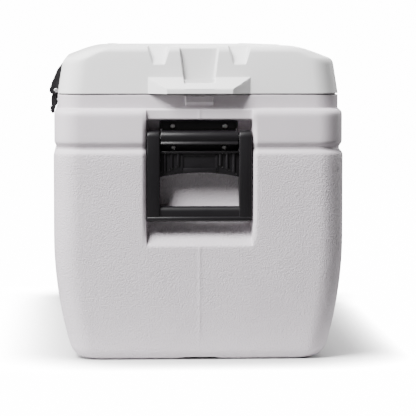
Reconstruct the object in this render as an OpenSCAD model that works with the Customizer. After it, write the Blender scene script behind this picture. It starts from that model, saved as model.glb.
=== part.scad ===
// Large ice chest on wheels: insulated tub and lid, end bail handles, latches, hinges, wheels and drain.
// Z up, X along the length, origin on the floor under the middle. Latches at -Y, hinges at +Y, wheels at -X.

/* [Body] */
// length over the end walls of the tub
body_length = 1080; // [1040:10:1120]
// width of the tub at its widest
body_width = 470.6; // [460.6:2:480.6]
// height of the tub's rim
rim_height = 433; // [431:1:433]
// wall of the moulded shells
wall = 3; // [2.6:0.1:3.2]
// radius of the tub's upright corners
corner_radius = 42; // [38:1:46]
// radius of the bowed sides, seen from the end
side_bow = 650; // [600:5:800]
// radius where the sides meet the base
base_edge = 34; // [30:1:38]
// depth of the waist groove
groove_depth = 3; // [2:0.5:3]
// step back of the rim along the sides
rim_step_side = 7.3; // [7.1:0.1:7.5]
// step back of the rim at the ends
rim_step_end = 15; // [14.8:0.1:15.2]

/* [Lid] */
// height of the closed chest
total_height = 517; // [515:1:520]
// gap between rim and lid
lid_gap = 2; // [1.6:0.2:2.4]
// reach of the lift lip past the lid's end
lip_reach = 22; // [18:1:24]

/* [End handles] */
// width of the bail over its arms
bail_width = 171; // [169:1:171]
// width of each arm
arm_width = 21; // [19:1:22]
// thickness of the arms along the chest
arm_depth = 21; // [19:1:22]
// height of the handle's pivot
pivot_height = 364.7; // [363:0.5:366]
// depth of the handle pocket
pocket_depth = 38; // [37:1:40]

/* [Latches and hinges] */
// distance of each latch from the middle
latch_offset = 260; // [220:10:300]
// width of a latch
latch_width = 60; // [54:2:64]
// distance of the outer hinges from the middle
hinge_offset = 360; // [320:10:400]
// width of a hinge
hinge_width = 60; // [56:2:70]

/* [Wheels] */
// radius of the wheels
wheel_radius = 75; // [72:1:76]
// width of the tyre
wheel_width = 44; // [40:1:44]
// distance of the axle from the wheel end
axle_setback = 80; // [78:1:84]
// radius of the axle
axle_radius = 6; // [5:0.5:7]

/* [Drain] */
// distance of the drain from the middle, towards the wheels
drain_offset = 300; // [260:10:330]
// height of the drain
drain_height = 64; // [63:1:68]

/* [Hidden] */

fine = 64;
medium = 32;
hair = 0.05;
play = 0.3;
over = 10;

half_length = body_length / 2;
half_width = body_width / 2;

// tub profile, from the base up
bow_start = 205;
bow_slope = 15.6;
edge_top = base_edge * (1 - sin(bow_slope));
groove_low = 338;
groove_floor = 341;
groove_roof = 349;
groove_high = 353;
block_step = 1.3;
shoulder_low = 404;
shoulder_mid = 408.5;
shoulder_high = 411;

// lid profile, from the parting line up
lid_bottom = rim_height + lid_gap;
lid_side_top = lid_bottom + 45;
lid_lean = 5;
end_lean = 4;
lid_edge = 11;
lid_crown = total_height;

// lid end features
notch_spacing = 66;
notch_top = 34;
notch_bottom = 19;
notch_height = 26.5;
notch_rim = 511;
notch_depth = 30;
channel_top = 63;
channel_bottom = 48;
channel_floor = 451.5;
channel_depth = 8;
lip_half_base = 82;
lip_half_edge = 53;
lip_top = 461.5;
lip_nose = 443.5;

// handle pocket
pocket_half = 87.5;
pocket_roof = 393;
pocket_knee = 262;
pocket_floor = 205;
pocket_sill = 187.5;
pocket_back = half_length - pocket_depth;
beam_recess = 8;

// wheels and axle
axle_x = -(half_length - axle_setback);
axle_z = wheel_radius;
well_radius = wheel_radius + 7;
well_inner = 178;
wheel_inner = 184;
wheel_outer = wheel_inner + wheel_width;
wheel_bore = axle_radius + hair;
hub_face = 244;

// liner
liner_floor = 38;
liner_top = rim_height;
flange = 3;
liner_half_top = 190;
liner_half_bottom = 176;
liner_end_top = half_length - 49;
liner_end_bottom = half_length - 62;
liner_corner = 36;
step_height = 178;
step_x = -(half_length - 175);
plug_bottom = 418;

// drain
drain_radius = 12;
drain_recess = 26;
drain_face = 203;
drain_x = -drain_offset;
spout_end = 165;

// hinge
hinge_y = 232.2;
hinge_z = rim_height + 1;
knuckle_radius = 4;
hinge_pin_radius = 1.6;
leaf = 2;
leaf_top = 486;
hinge_places = [-hinge_offset, 0, hinge_offset];
knuckle_half = 10;

// latch
latch_y = -235;
latch_z = 435.8;
latch_pin_radius = 2;
latch_barrel = 5.4;
latch_places = [-latch_offset, latch_offset];
slot_half = 21.5;

// handle
pivot_x = half_length - 14;
bail_half = bail_width / 2;
arm_inner = bail_half - arm_width;
rod_radius = 4;
barrel_radius = 10;
barrel_half = arm_inner - 1;
bail_foot = 227;
grip_shelf = 235;
grip_top = 252;
web_top = 341;
web_arch_mid = 306;
web_arch_end = 301;
web_thick = 4;
flange_half = 64;

screw_head = 4;
screw_shank = 2;

white = [0.90, 0.89, 0.89];
inner_white = [0.93, 0.93, 0.92];
foam_tone = [0.93, 0.88, 0.70];
black = [0.07, 0.07, 0.08];
steel = [0.72, 0.72, 0.73];
rubber = [0.10, 0.10, 0.10];
grey = [0.55, 0.56, 0.58];

// ---- shared shapes ----

// points of a rounded rectangle, corner by corner, with n steps in each corner
function rounded(a, b, r, n = 8) = [
    for (k = [0 : 3])
        for (i = [0 : n])
            let (t = 90 * k + 90 * i / n)
            let (sx = (k == 0 || k == 3) ? 1 : -1)
            let (sy = (k < 2) ? 1 : -1)
            [sx * (a - r) + r * cos(t), sy * (b - r) + r * sin(t)]
];

function at_height(outline, z) = [for (p = outline) [p[0], p[1], z]];

// solid between two outlines with the same number of points
module between(lower, upper) {
    n = len(lower);
    hull()
        polyhedron(
            points = concat(lower, upper),
            faces = concat(
                [[for (i = [0 : n - 1]) i]],
                [[for (i = [n - 1 : -1 : 0]) n + i]],
                [for (i = [0 : n - 1]) [i, n + i, n + (i + 1) % n, (i + 1) % n]]
            )
        );
}

// stack of outlines, each level given as [height, half length, half width, corner radius]
module stack(levels) {
    for (i = [0 : len(levels) - 2])
        between(
            at_height(rounded(levels[i][1], levels[i][2], levels[i][3]), levels[i][0]),
            at_height(rounded(levels[i + 1][1], levels[i + 1][2], levels[i + 1][3]), levels[i + 1][0])
        );
}

module block(x0, x1, y0, y1, z0, z1) {
    translate([x0, y0, z0])
        cube([x1 - x0, y1 - y0, z1 - z0]);
}

// bar with a side view drawn in X and Z, running from y0 to y1
module bar_y(outline, y0, y1) {
    translate([0, y1, 0])
        rotate([90, 0, 0])
            linear_extrude(y1 - y0)
                polygon(outline);
}

// bar with an end view drawn in Y and Z, running from x0 to x1
module bar_x(outline, x0, x1) {
    translate([x0, 0, 0])
        rotate([90, 0, 90])
            linear_extrude(x1 - x0)
                polygon(outline);
}

// round rod along Y
module rod_y(x, y0, y1, z, r, n = fine) {
    translate([x, y1, z])
        rotate([90, 0, 0])
            cylinder(r = r, h = y1 - y0, $fn = n);
}

// round rod along X
module rod_x(x0, x1, y, z, r, n = fine) {
    translate([x0, y, z])
        rotate([0, 90, 0])
            cylinder(r = r, h = x1 - x0, $fn = n);
}

module both_ends() {
    children();
    mirror([1, 0, 0])
        children();
}

module both_sides() {
    children();
    mirror([0, 1, 0])
        children();
}

// pan head screw, head up, with its shank hanging down from the origin
module screw(head, shank, length, height = 1.8) {
    difference() {
        union() {
            cylinder(r = head, h = height * 0.5, $fn = medium);
            translate([0, 0, height * 0.5])
                cylinder(r1 = head, r2 = head * 0.7, h = height * 0.5, $fn = medium);
            translate([0, 0, -length])
                cylinder(r = shank, h = length, $fn = medium);
        }
        for (a = [0, 90])
            rotate([0, 0, a])
                translate([-head * 0.55, -0.4, height * 0.5])
                    cube([head * 1.1, 0.8, height]);
    }
}

// ---- tub ----

function bow(z) = z < bow_start ? side_bow - sqrt(pow(side_bow, 2) - pow(bow_start - z, 2)) : 0;

// how far the wall stands in from the widest line, at a height in the lower tub
function lower_in(z) = z < edge_top
    ? bow(edge_top) + base_edge * cos(bow_slope) - sqrt(pow(base_edge, 2) - pow(base_edge - z, 2))
    : bow(z);

function tub_level(z, side_in, end_in, t) = [
    z,
    half_length - end_in - t,
    half_width - side_in - t,
    max(12, corner_radius - t - side_in * 0.25)
];

function bow_levels(t) = [
    for (i = [1 : 6])
        let (z = edge_top + (bow_start - edge_top) * i / 6)
        tub_level(z, bow(z), bow(z), t)
];

function upper_levels(t, top) = [
    tub_level(groove_low, 0, 0, t),
    tub_level(groove_floor, groove_depth, groove_depth, t),
    tub_level(groove_roof, groove_depth, groove_depth, t),
    tub_level(groove_high, block_step, block_step, t),
    tub_level(shoulder_low, block_step, block_step, t),
    tub_level(shoulder_mid, block_step * 2, block_step * 3.5, t),
    tub_level(shoulder_high, rim_step_side, rim_step_end, t),
    tub_level(top, rim_step_side, rim_step_end, t)
];

// tub outline moved in by t, up to a height
module tub_form(t, top) {
    stack([
        tub_level(t, lower_in(0), lower_in(0), t),
        for (i = [1 : 5])
            let (z = edge_top * (1 - cos(18 * i)))
            tub_level(t + z * (edge_top - t) / edge_top, lower_in(z), lower_in(z), t),
        for (level = bow_levels(t)) level,
        for (level = upper_levels(t, top)) level
    ]);
}

// side view of the pocket that takes a handle, with t added all round
function pocket_outline(t) = [
    [half_length + over, pocket_roof + t],
    [pocket_back - t, pocket_roof + t],
    [pocket_back - t, pocket_knee],
    [pocket_back + 2 - t, pocket_knee - 18],
    [pocket_back + 7 - t, pocket_knee - 36],
    [pocket_back + 14 - t, pocket_knee - 50],
    [pocket_back + 20 - t, pocket_floor - t],
    [half_length - 2, pocket_sill - t],
    [half_length + over, pocket_sill - over - t]
];

module handle_pocket(t) {
    bar_y(pocket_outline(t), -pocket_half - t, pocket_half + t);
    bar_y([
        [half_length - beam_recess - block_step - t, pocket_roof - over],
        [half_length + over, pocket_roof - over],
        [half_length + over, shoulder_high + over * 0.1],
        [half_length - beam_recess - block_step - t, shoulder_high + over * 0.1]
    ], -pocket_half - t, pocket_half + t);
    // rounded side edges of the opening
    both_sides()
        translate([half_length, pocket_half + t, pocket_sill])
            linear_extrude(pocket_roof - pocket_sill)
                polygon([[-5 - t, 0], [over, 0], [over, 5 + over], [0, 5]]);
}

module wheel_well(t) {
    both_sides()
        translate([0, well_inner - t, 0]) {
            rod_y(axle_x, 0, half_width, axle_z, well_radius + t);
            block(axle_x - well_radius - t, axle_x + well_radius + t, 0, half_width, -over, axle_z);
            block(-half_length - over, axle_x, 0, half_width, -over, axle_z + well_radius + t);
        }
}

// slope behind the axle, so that the chest can be tipped on to its wheels
module tip_slope(t) {
    bar_y([
        [axle_x - 8 + t, -over],
        [axle_x - 8 + t, t * 0.2],
        [-half_length - over, 62 + t],
        [-half_length - over, -over]
    ], -half_width, half_width);
}

module axle_tunnel(t) {
    rod_y(axle_x, -well_inner - over, well_inner + over, axle_z, axle_radius + hair + t);
}

module base_channel(t) {
    bar_x([[-32 - t, -over], [32 + t, -over], [27 + t, 4 + t], [-27 - t, 4 + t]], -half_length - over, half_length + over);
}

module drain_recess_cut(t) {
    rod_y(drain_x, drain_face - t, half_width + over, drain_height, drain_recess + t);
}

module tub_cuts(t) {
    both_ends()
        handle_pocket(t);
    wheel_well(t);
    tip_slope(t);
    axle_tunnel(t);
    base_channel(t);
    drain_recess_cut(t);
}

// boss on the rim under each lift lip
module rim_boss() {
    face = half_length - rim_step_end;
    both_ends()
        bar_y([[face - 1, 416], [face + 8, 420], [face + 8, 431], [face - 1, 432.4]], -22, 22);
}

module drain_hole(r) {
    rod_y(drain_x, 150, half_width, drain_height, r, medium);
}

module body_shell() {
    color(white)
        difference() {
            union() {
                tub_form(0, rim_height);
                rim_boss();
            }
            tub_cuts(0);
            difference() {
                tub_form(wall, rim_height + over);
                tub_cuts(wall);
            }
            drain_hole(drain_radius + hair);
            handle_screw_holes();
            keeper_screw_holes();
            hinge_body_screw_holes();
        }
}

// inner tub outline moved in by t
module liner_form(t, bottom, top) {
    rise = liner_top - liner_floor;
    function liner_at(z) = [
        z,
        liner_end_bottom + (liner_end_top - liner_end_bottom) * (z - liner_floor) / rise - t,
        liner_half_bottom + (liner_half_top - liner_half_bottom) * (z - liner_floor) / rise - t,
        liner_corner - t
    ];
    difference() {
        stack([
            [bottom, liner_end_bottom - 14 - t, liner_half_bottom - 14 - t, liner_corner - 14],
            [bottom + 5, liner_end_bottom - 5 - t, liner_half_bottom - 5 - t, liner_corner - 6],
            [bottom + 14, liner_at(bottom + 14)[1], liner_at(bottom + 14)[2], liner_corner - t],
            liner_at(top)
        ]);
        block(-half_length, step_x + t, -half_width, half_width, 0, step_height + t);
    }
}

module body_liner() {
    color(inner_white)
        difference() {
            union() {
                liner_form(0, liner_floor, liner_top);
                stack([
                    tub_level(liner_top - flange, rim_step_side, rim_step_end, wall + play),
                    tub_level(liner_top, rim_step_side, rim_step_end, wall + play)
                ]);
            }
            liner_form(wall, liner_floor + wall, liner_top + over);
            drain_hole(drain_radius + hair);
        }
}

module body_insulation() {
    color(foam_tone)
        difference() {
            tub_form(wall + play, liner_top - flange - play);
            tub_cuts(wall + play);
            liner_form(-play, liner_floor - play, liner_top + over);
            drain_hole(drain_radius + 1);
            handle_screw_reliefs();
            keeper_screw_reliefs();
            hinge_body_screw_reliefs();
        }
}

// ---- lid ----

function lid_level(z, side_in, end_in, t) = [
    z,
    half_length - rim_step_end - end_in - t,
    half_width - rim_step_side - side_in - t,
    max(12, corner_radius - side_in * 0.3 - t)
];

// lid outline moved in by t, from a height up: steep sides, a sloped edge along the front and back,
// and upright ends with a rounded top edge
module lid_form(t, bottom) {
    slope_in = lid_lean + lid_edge * 0.45;
    start = (bottom - lid_bottom) / (lid_side_top - lid_bottom);
    stack([
        lid_level(bottom, lid_lean * start, end_lean * start, t),
        lid_level(lid_side_top, lid_lean, end_lean, t),
        lid_level(lid_side_top + lid_edge * 0.6, lid_lean + lid_edge * 0.28, end_lean + 0.5, t),
        lid_level(lid_side_top + lid_edge, slope_in + lid_edge * 0.2, end_lean + 1, t),
        lid_level(lid_side_top + lid_edge * 1.45, slope_in + lid_edge * 0.85, end_lean + 1.5, t),
        lid_level(lid_crown - 14.5 - t, lid_lean + 27, end_lean + 3, t),
        lid_level(lid_crown - 10 - t, lid_lean + 38, end_lean + 5, t),
        lid_level(lid_crown - 6.4 - t, lid_lean + 53, end_lean + 9, t),
        lid_level(lid_crown - 3.6 - t, lid_lean + 64, end_lean + 16, t),
        lid_level(lid_crown - 1.5 - t, lid_lean + 74, end_lean + 40, t),
        lid_level(lid_crown - t, lid_lean + 78, end_lean + 80, t)
    ]);
}

// tapered cut into the lid's end, with t added all round
module end_cut(top_half, bottom_half, top, bottom, depth, foot, t) {
    face = half_length - rim_step_end;
    hull() {
        block(face - depth - t, face + over, -top_half - t, top_half + t, top - hair, top + over * 2);
        block(face - foot - t, face + over, -bottom_half - t, bottom_half + t, bottom - t, bottom - t + hair);
    }
}

module lid_end_cuts(t) {
    both_ends() {
        for (side = [-1, 1])
            translate([0, side * notch_spacing, 0])
                end_cut(notch_top / 2, notch_bottom / 2, notch_rim, notch_rim - notch_height, notch_depth, end_lean + 1, t);
        end_cut(channel_top / 2, channel_bottom / 2, notch_rim, channel_floor, channel_depth + end_lean, channel_depth, t);
    }
}

// lift lip on each end of the lid
module lift_lip() {
    face = half_length - rim_step_end;
    both_ends()
        difference() {
            between(
                [
                    [face - 2, -lip_half_base, lid_bottom],
                    [face + lip_reach, -lip_half_edge, lid_bottom],
                    [face + lip_reach, lip_half_edge, lid_bottom],
                    [face - 2, lip_half_base, lid_bottom]
                ],
                [
                    [face - 6, -lip_half_base + 6, lip_top],
                    [face - 2, -lip_half_edge - 12, lip_top],
                    [face - 2, lip_half_edge + 12, lip_top],
                    [face - 6, lip_half_base - 6, lip_top]
                ]
            );
            // the channel runs on through the slope of the lip
            block(face - over, face + 2 * over + 10, -channel_bottom / 2, channel_bottom / 2, channel_floor + 0.5, lip_top + 5);
            bar_y([
                [face + 3, lid_bottom - over],
                [face + lip_reach - 5, lid_bottom - over],
                [face + lip_reach - 7, lid_bottom + 5],
                [face + 3, lid_bottom + 15]
            ], -lip_half_edge + 4, lip_half_edge - 4);
        }
}

module lid_shell() {
    color(white)
        difference() {
            union() {
                difference() {
                    lid_form(0, lid_bottom);
                    lid_end_cuts(0);
                }
                lift_lip();
            }
            difference() {
                lid_form(wall, lid_bottom - over);
                lid_end_cuts(wall);
            }
            latch_lid_screw_holes();
            hinge_lid_screw_holes();
        }
}

module lid_plug(t) {
    inset = 4 + t;
    between(
        at_height(rounded(liner_end_top - 8 - inset, liner_half_top - 8 - inset, liner_corner - 6), plug_bottom + t),
        at_height(rounded(liner_end_top - inset, liner_half_top - inset, liner_corner), lid_bottom + 1)
    );
}

module lid_liner() {
    panel = lid_level(0, 0.2, 0.2, wall + play);
    color(inner_white)
        difference() {
            union() {
                lid_plug(0);
                between(
                    at_height(rounded(panel[1], panel[2], panel[3]), rim_height + 0.5),
                    at_height(rounded(panel[1], panel[2], panel[3]), lid_bottom + 1)
                );
            }
            between(
                at_height(rounded(liner_end_top - 15, liner_half_top - 15, liner_corner - 6), plug_bottom + wall),
                at_height(rounded(liner_end_top - 7, liner_half_top - 7, liner_corner), lid_bottom + over)
            );
        }
}

module lid_insulation() {
    color(foam_tone)
        difference() {
            lid_form(wall + play, lid_bottom + 1 + play);
            lid_end_cuts(wall + play);
            latch_lid_screw_reliefs();
            hinge_lid_screw_reliefs();
        }
}

// ---- end handles ----

module at_handle_screws(face_x) {
    for (side = [-1, 1]) {
        translate([face_x, side * 43, 383])
            rotate([0, 90, 0])
                children();
        translate([face_x, side * 42, 346.8])
            rotate([0, 90, 0])
                children();
    }
}

bracket_back = pocket_back + hair;
bracket_plate = 5;

module handle_screw_holes() {
    both_ends()
        at_handle_screws(pocket_back - 12)
            cylinder(r = screw_shank + hair, h = 30, $fn = medium);
}

module handle_screw_reliefs() {
    both_ends()
        at_handle_screws(pocket_back - 14)
            cylinder(r = screw_shank + 1, h = 30, $fn = medium);
}

module handle_bracket() {
    difference() {
        union() {
            // back plate with the upper flange and the lower flange
            bar_y([
                [bracket_back, 340.5],
                [bracket_back + bracket_plate - 1, 340.5],
                [bracket_back + bracket_plate, 341.5],
                [bracket_back + bracket_plate, 354],
                [pivot_x - 2, 356],
                [pivot_x - 2, 373.5],
                [bracket_back + bracket_plate, 375.6],
                [bracket_back + bracket_plate, 391],
                [bracket_back + bracket_plate - 1, 392],
                [bracket_back, 392]
            ], -flange_half, flange_half);
            rod_y(pivot_x, -barrel_half, barrel_half, pivot_height, barrel_radius);
        }
        rod_y(pivot_x, -barrel_half - over, barrel_half + over, pivot_height, rod_radius + hair);
        at_handle_screws(pocket_back - over)
            cylinder(r = screw_shank + hair, h = 30, $fn = medium);
    }
}

module handle_rod() {
    rod_y(pivot_x, -bail_half + 3, bail_half - 3, pivot_height, rod_radius);
}

module handle_screws() {
    at_handle_screws(bracket_back + bracket_plate)
        screw(screw_head, screw_shank, bracket_plate + 9);
}

// side view of an arm, with its round top at the pivot
module arm(y0, y1) {
    half = arm_depth / 2;
    rod_y(pivot_x, y0, y1, pivot_height, half);
    bar_y([
        [pivot_x - half, pivot_height],
        [pivot_x - half, bail_foot + 5],
        [pivot_x - half + 5, bail_foot],
        [pivot_x + half - 5, bail_foot],
        [pivot_x + half, bail_foot + 5],
        [pivot_x + half, pivot_height]
    ], y0, y1);
}

// front view of the web plate, with its arched lower edge
module web_plate() {
    half = arm_inner + 1;
    translate([pivot_x - 3, 0, 0])
        rotate([90, 0, 90])
            linear_extrude(web_thick)
                polygon(concat(
                    [[half, web_top], [-half, web_top]],
                    [
                        for (i = [0 : 12])
                            let (u = -1 + i / 6)
                            [u * half, web_arch_end + (web_arch_mid - web_arch_end) * (1 - u * u)]
                    ]
                ));
}

module handle_bail() {
    difference() {
        union() {
            both_sides()
                arm(arm_inner, bail_half);
            difference() {
                web_plate();
                // recess for a plain badge
                block(pivot_x + web_thick - 4.2, pivot_x + over, -27, 27, 313.5, 334);
            }
            // upright ribs on the web plate
            both_sides()
                for (i = [0 : 2])
                    block(pivot_x, pivot_x + 5, 31 + 12 * i, 36 + 12 * i, 316 - 5.5 * i, web_top);
            // rolled top edge and bottom edge of the web plate
            block(pivot_x - 3, pivot_x + 6, -arm_inner - 1, arm_inner + 1, web_top - 4, web_top);
            // grip bar with its lower shelf
            rod_y(pivot_x, -arm_inner - 1, arm_inner + 1, 243, 8.5);
            block(pivot_x - 8.5, pivot_x + 8.5, -arm_inner - 1, arm_inner + 1, bail_foot + 2, 243);
        }
        rod_y(pivot_x, -bail_half - over, bail_half + over, pivot_height, rod_radius + hair);
    }
}

// ---- latches ----

function lid_face(z) = half_width - rim_step_side - lid_lean * (z - lid_bottom) / (lid_side_top - lid_bottom);
rim_face = half_width - rim_step_side;
lid_tilt = atan(lid_lean / (lid_side_top - lid_bottom));

module at_latch_lid_screws(depth) {
    for (x = latch_places)
        for (side = [-1, 1])
            translate([x + side * (latch_width / 2 - 6), -lid_face(462) - depth, 462])
                rotate([90, 0, 0])
                    children();
}

module latch_lid_screw_holes() {
    at_latch_lid_screws(-20)
        cylinder(r = screw_shank + hair, h = 30, $fn = medium);
}

module latch_lid_screw_reliefs() {
    at_latch_lid_screws(-20)
        cylinder(r = screw_shank + 1, h = 30, $fn = medium);
}

module latch_mount(x) {
    half = latch_width / 2;
    difference() {
        union() {
            bar_x([
                [-lid_face(475.8) - hair, 475.8],
                [-lid_face(475.8) - 3.5, 475.8],
                [-244, 441],
                [-243.2, 438.7],
                [-lid_face(438.7) - hair, 438.7]
            ], x - half, x + half);
            rod_x(x - half, x - slot_half, latch_y, latch_z, 6.2);
            rod_x(x + slot_half, x + half, latch_y, latch_z, 6.2);
        }
        block(x - slot_half, x + slot_half, -250, -lid_face(447) - 1, 420, 447);
        rod_x(x - half - over, x + half + over, latch_y, latch_z, latch_pin_radius + hair, medium);
        at_latch_lid_screws(-20)
            cylinder(r = screw_shank + hair, h = 60, $fn = medium);
        at_latch_lid_screws(4)
            cylinder(r = screw_head + 0.6, h = 30, $fn = medium);
    }
}

module latch_lid_screws() {
    at_latch_lid_screws(4)
        screw(screw_head, screw_shank, 14);
}

module latch_pin(x) {
    half = latch_width / 2 + 0.6;
    rod_x(x - half, x + half, latch_y, latch_z, latch_pin_radius);
}

module latch_strap(x) {
    half = slot_half - 0.5;
    difference() {
        union() {
            rod_x(x - half, x + half, latch_y, latch_z, latch_barrel);
            bar_x([
                [-230.7, 433],
                [-230.7, 412.5],
                [-234.6, 408.5],
                [-234.6, 403.5],
                [-237.2, 403.5],
                [-236.6, 409],
                [-235.4, 412],
                [-235.4, 416],
                [-236.8, 419],
                [-235.4, 422],
                [-235.4, 433]
            ], x - half, x + half);
        }
        rod_x(x - half - over, x + half + over, latch_y, latch_z, latch_pin_radius + hair, medium);
    }
}

module at_keeper_screws() {
    for (x = latch_places)
        for (side = [-1, 1])
            translate([x + side * 26, -rim_face - leaf - hair, 420])
                rotate([90, 0, 0])
                    children();
}

module keeper_screw_holes() {
    at_keeper_screws()
        translate([0, 0, -14])
            cylinder(r = screw_shank * 0.7 + hair, h = 20, $fn = medium);
}

module keeper_screw_reliefs() {
    at_keeper_screws()
        translate([0, 0, -16])
            cylinder(r = screw_shank + 1, h = 20, $fn = medium);
}

module latch_keepers() {
    difference() {
        for (x = latch_places)
            bar_x([
                [-rim_face - hair, 413],
                [-rim_face - hair, 428],
                [-rim_face - hair - 1, 428],
                [-rim_face - hair - leaf, 426],
                [-rim_face - hair - leaf, 414],
                [-rim_face - hair - 1, 413]
            ], x - 32, x + 32);
        keeper_screw_holes();
    }
}

module latch_keeper_screws() {
    at_keeper_screws()
        screw(screw_head * 0.75, screw_shank * 0.7, 9, 1.4);
}

// ---- hinges ----

module at_hinge_lid_screws(lift) {
    for (x = hinge_places)
        for (side = [-1, 1])
            for (z = [459.7, 478])
                translate([x + side * 19, lid_face(z), z])
                    rotate([-90 + lid_tilt, 0, 0])
                        translate([0, 0, lift])
                            children();
}

module at_hinge_body_screws(lift) {
    for (x = hinge_places)
        for (side = [-1, 1])
            translate([x + side * 19, rim_face + lift, 420])
                rotate([-90, 0, 0])
                    children();
}

module hinge_lid_screw_holes() {
    at_hinge_lid_screws(-12)
        cylinder(r = screw_shank + hair, h = 20, $fn = medium);
}

module hinge_lid_screw_reliefs() {
    at_hinge_lid_screws(-14)
        cylinder(r = screw_shank + 1, h = 20, $fn = medium);
}

module hinge_body_screw_holes() {
    at_hinge_body_screws(-14)
        cylinder(r = screw_shank + hair, h = 20, $fn = medium);
}

module hinge_body_screw_reliefs() {
    at_hinge_body_screws(-16)
        cylinder(r = screw_shank + 1, h = 20, $fn = medium);
}

module knuckle(x0, x1) {
    rod_x(x0, x1, hinge_y, hinge_z, knuckle_radius);
}

module hinge_lid_leaves() {
    half = hinge_width / 2;
    difference() {
        union()
            for (x = hinge_places) {
                bar_x([
                    [lid_face(441) + hair, 441],
                    [lid_face(441) + hair + leaf, 441],
                    [lid_face(leaf_top) + hair + leaf, leaf_top],
                    [lid_face(leaf_top) + hair, leaf_top]
                ], x - half, x + half);
                bar_x([
                    [lid_face(436) + hair, 436],
                    [hinge_y, 436],
                    [lid_face(443) + hair + leaf, 443],
                    [lid_face(443) + hair, 443]
                ], x - knuckle_half, x + knuckle_half);
                knuckle(x - knuckle_half, x + knuckle_half);
            }
        rod_x(-half_length, half_length, hinge_y, hinge_z, hinge_pin_radius + hair, medium);
        hinge_lid_screw_holes();
    }
}

module hinge_body_leaves() {
    half = hinge_width / 2;
    difference() {
        union()
            for (x = hinge_places) {
                bar_x([
                    [rim_face + hair, 412.5],
                    [rim_face + hair + leaf, 412.5],
                    [rim_face + hair + leaf, 428],
                    [rim_face + hair, 428]
                ], x - half, x + half);
                for (side = [-1, 1])
                    bar_x([
                        [rim_face + hair, 427],
                        [rim_face + hair + leaf, 427],
                        [hinge_y + 1, hinge_z - 2],
                        [rim_face + hair + 1.5, hinge_z - 1.5]
                    ], x + side * (knuckle_half + half) / 2 - (half - knuckle_half) / 2 + hair * 2,
                       x + side * (knuckle_half + half) / 2 + (half - knuckle_half) / 2 - hair * 2);
                for (side = [-1, 1])
                    knuckle(x + side * (knuckle_half + half) / 2 - (half - knuckle_half) / 2 + hair * 2,
                            x + side * (knuckle_half + half) / 2 + (half - knuckle_half) / 2 - hair * 2);
            }
        rod_x(-half_length, half_length, hinge_y, hinge_z, hinge_pin_radius + hair, medium);
        hinge_body_screw_holes();
    }
}

module hinge_pins() {
    for (x = hinge_places)
        rod_x(x - hinge_width / 2 - 1, x + hinge_width / 2 + 1, hinge_y, hinge_z, hinge_pin_radius);
}

module hinge_lid_screws() {
    at_hinge_lid_screws(leaf + hair)
        screw(screw_head, screw_shank, 10);
}

module hinge_body_screws() {
    at_hinge_body_screws(leaf + hair)
        screw(screw_head, screw_shank, 10);
}

// ---- wheels ----

module axle() {
    rod_y(axle_x, -wheel_outer - 4, wheel_outer + 4, axle_z, axle_radius);
}

module ring_y(y0, y1, outer, inner, n = fine) {
    difference() {
        rod_y(axle_x, y0, y1, axle_z, outer, n);
        rod_y(axle_x, y0 - over, y1 + over, axle_z, inner, n);
    }
}

module axle_washers() {
    both_sides()
        ring_y(well_inner + 1, wheel_inner - 1, 14, axle_radius + hair);
}

module axle_caps() {
    both_sides()
        difference() {
            rod_y(axle_x, wheel_outer + 0.6, wheel_outer + 6, axle_z, axle_radius + 4);
            rod_y(axle_x, wheel_outer - over, wheel_outer + 4 + hair, axle_z, axle_radius + hair);
        }
}

tyre_thick = 7;
spokes = 8;

// wheel moulding in its own frame: axle along Z, inner face at zero
module rim_form() {
    felly = wheel_radius - tyre_thick;
    difference() {
        union() {
            rotate_extrude($fn = fine)
                polygon([
                    [felly - 7, 3], [felly - hair, 3], [felly - hair, wheel_width - 3], [felly - 7, wheel_width - 3]
                ]);
            cylinder(r = 17, h = wheel_width, $fn = fine);
            translate([0, 0, wheel_width / 2 - 3])
                cylinder(r = felly - 5, h = 6, $fn = fine);
            for (i = [0 : spokes - 1])
                rotate([0, 0, 360 / spokes * i])
                    translate([14, -2.5, 6])
                        cube([felly - 19, 5, wheel_width - 12]);
        }
        translate([0, 0, -over])
            cylinder(r = wheel_bore, h = wheel_width + 2 * over, $fn = fine);
        // counterbore for the push-on cap
        translate([0, 0, wheel_width - 1])
            cylinder(r = 12, h = over, $fn = fine);
    }
}

module place_wheel(side) {
    translate([axle_x, side * wheel_inner, axle_z])
        rotate([-90 * side, 0, 0])
            children();
}

module tyre_form() {
    bead = wheel_radius - tyre_thick;
    rotate_extrude($fn = fine * 1.5)
        polygon([
            [bead, 0.8], [wheel_radius - 4, 0.8], [wheel_radius - 1.2, 2.5], [wheel_radius, 7],
            [wheel_radius, wheel_width * 0.32], [wheel_radius - 2, wheel_width * 0.34],
            [wheel_radius - 2, wheel_width * 0.38], [wheel_radius, wheel_width * 0.4],
            [wheel_radius, wheel_width * 0.6], [wheel_radius - 2, wheel_width * 0.62],
            [wheel_radius - 2, wheel_width * 0.66], [wheel_radius, wheel_width * 0.68],
            [wheel_radius, wheel_width - 7], [wheel_radius - 1.2, wheel_width - 2.5],
            [wheel_radius - 4, wheel_width - 0.8], [bead, wheel_width - 0.8]
        ]);
}

// domed cap that closes the hub, clipped round the rim's hub
module hub_cap_form() {
    reach = hub_face - wheel_inner;
    rotate_extrude($fn = fine)
        polygon([
            [0, reach - 2.5], [12, reach - 3.2], [18, reach - 5], [19.5, reach - 9], [19.5, wheel_width + 0.5],
            [17 + hair, wheel_width + 0.5], [17 + hair, wheel_width - 5.5], [22, wheel_width - 5.5],
            [22, reach - 8], [19.5, reach - 3], [13, reach - 0.7], [0, reach]
        ]);
}

// ---- drain ----

module at_drain(y) {
    translate([drain_x, y, drain_height])
        rotate([-90, 0, 0])
            children();
}

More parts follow.
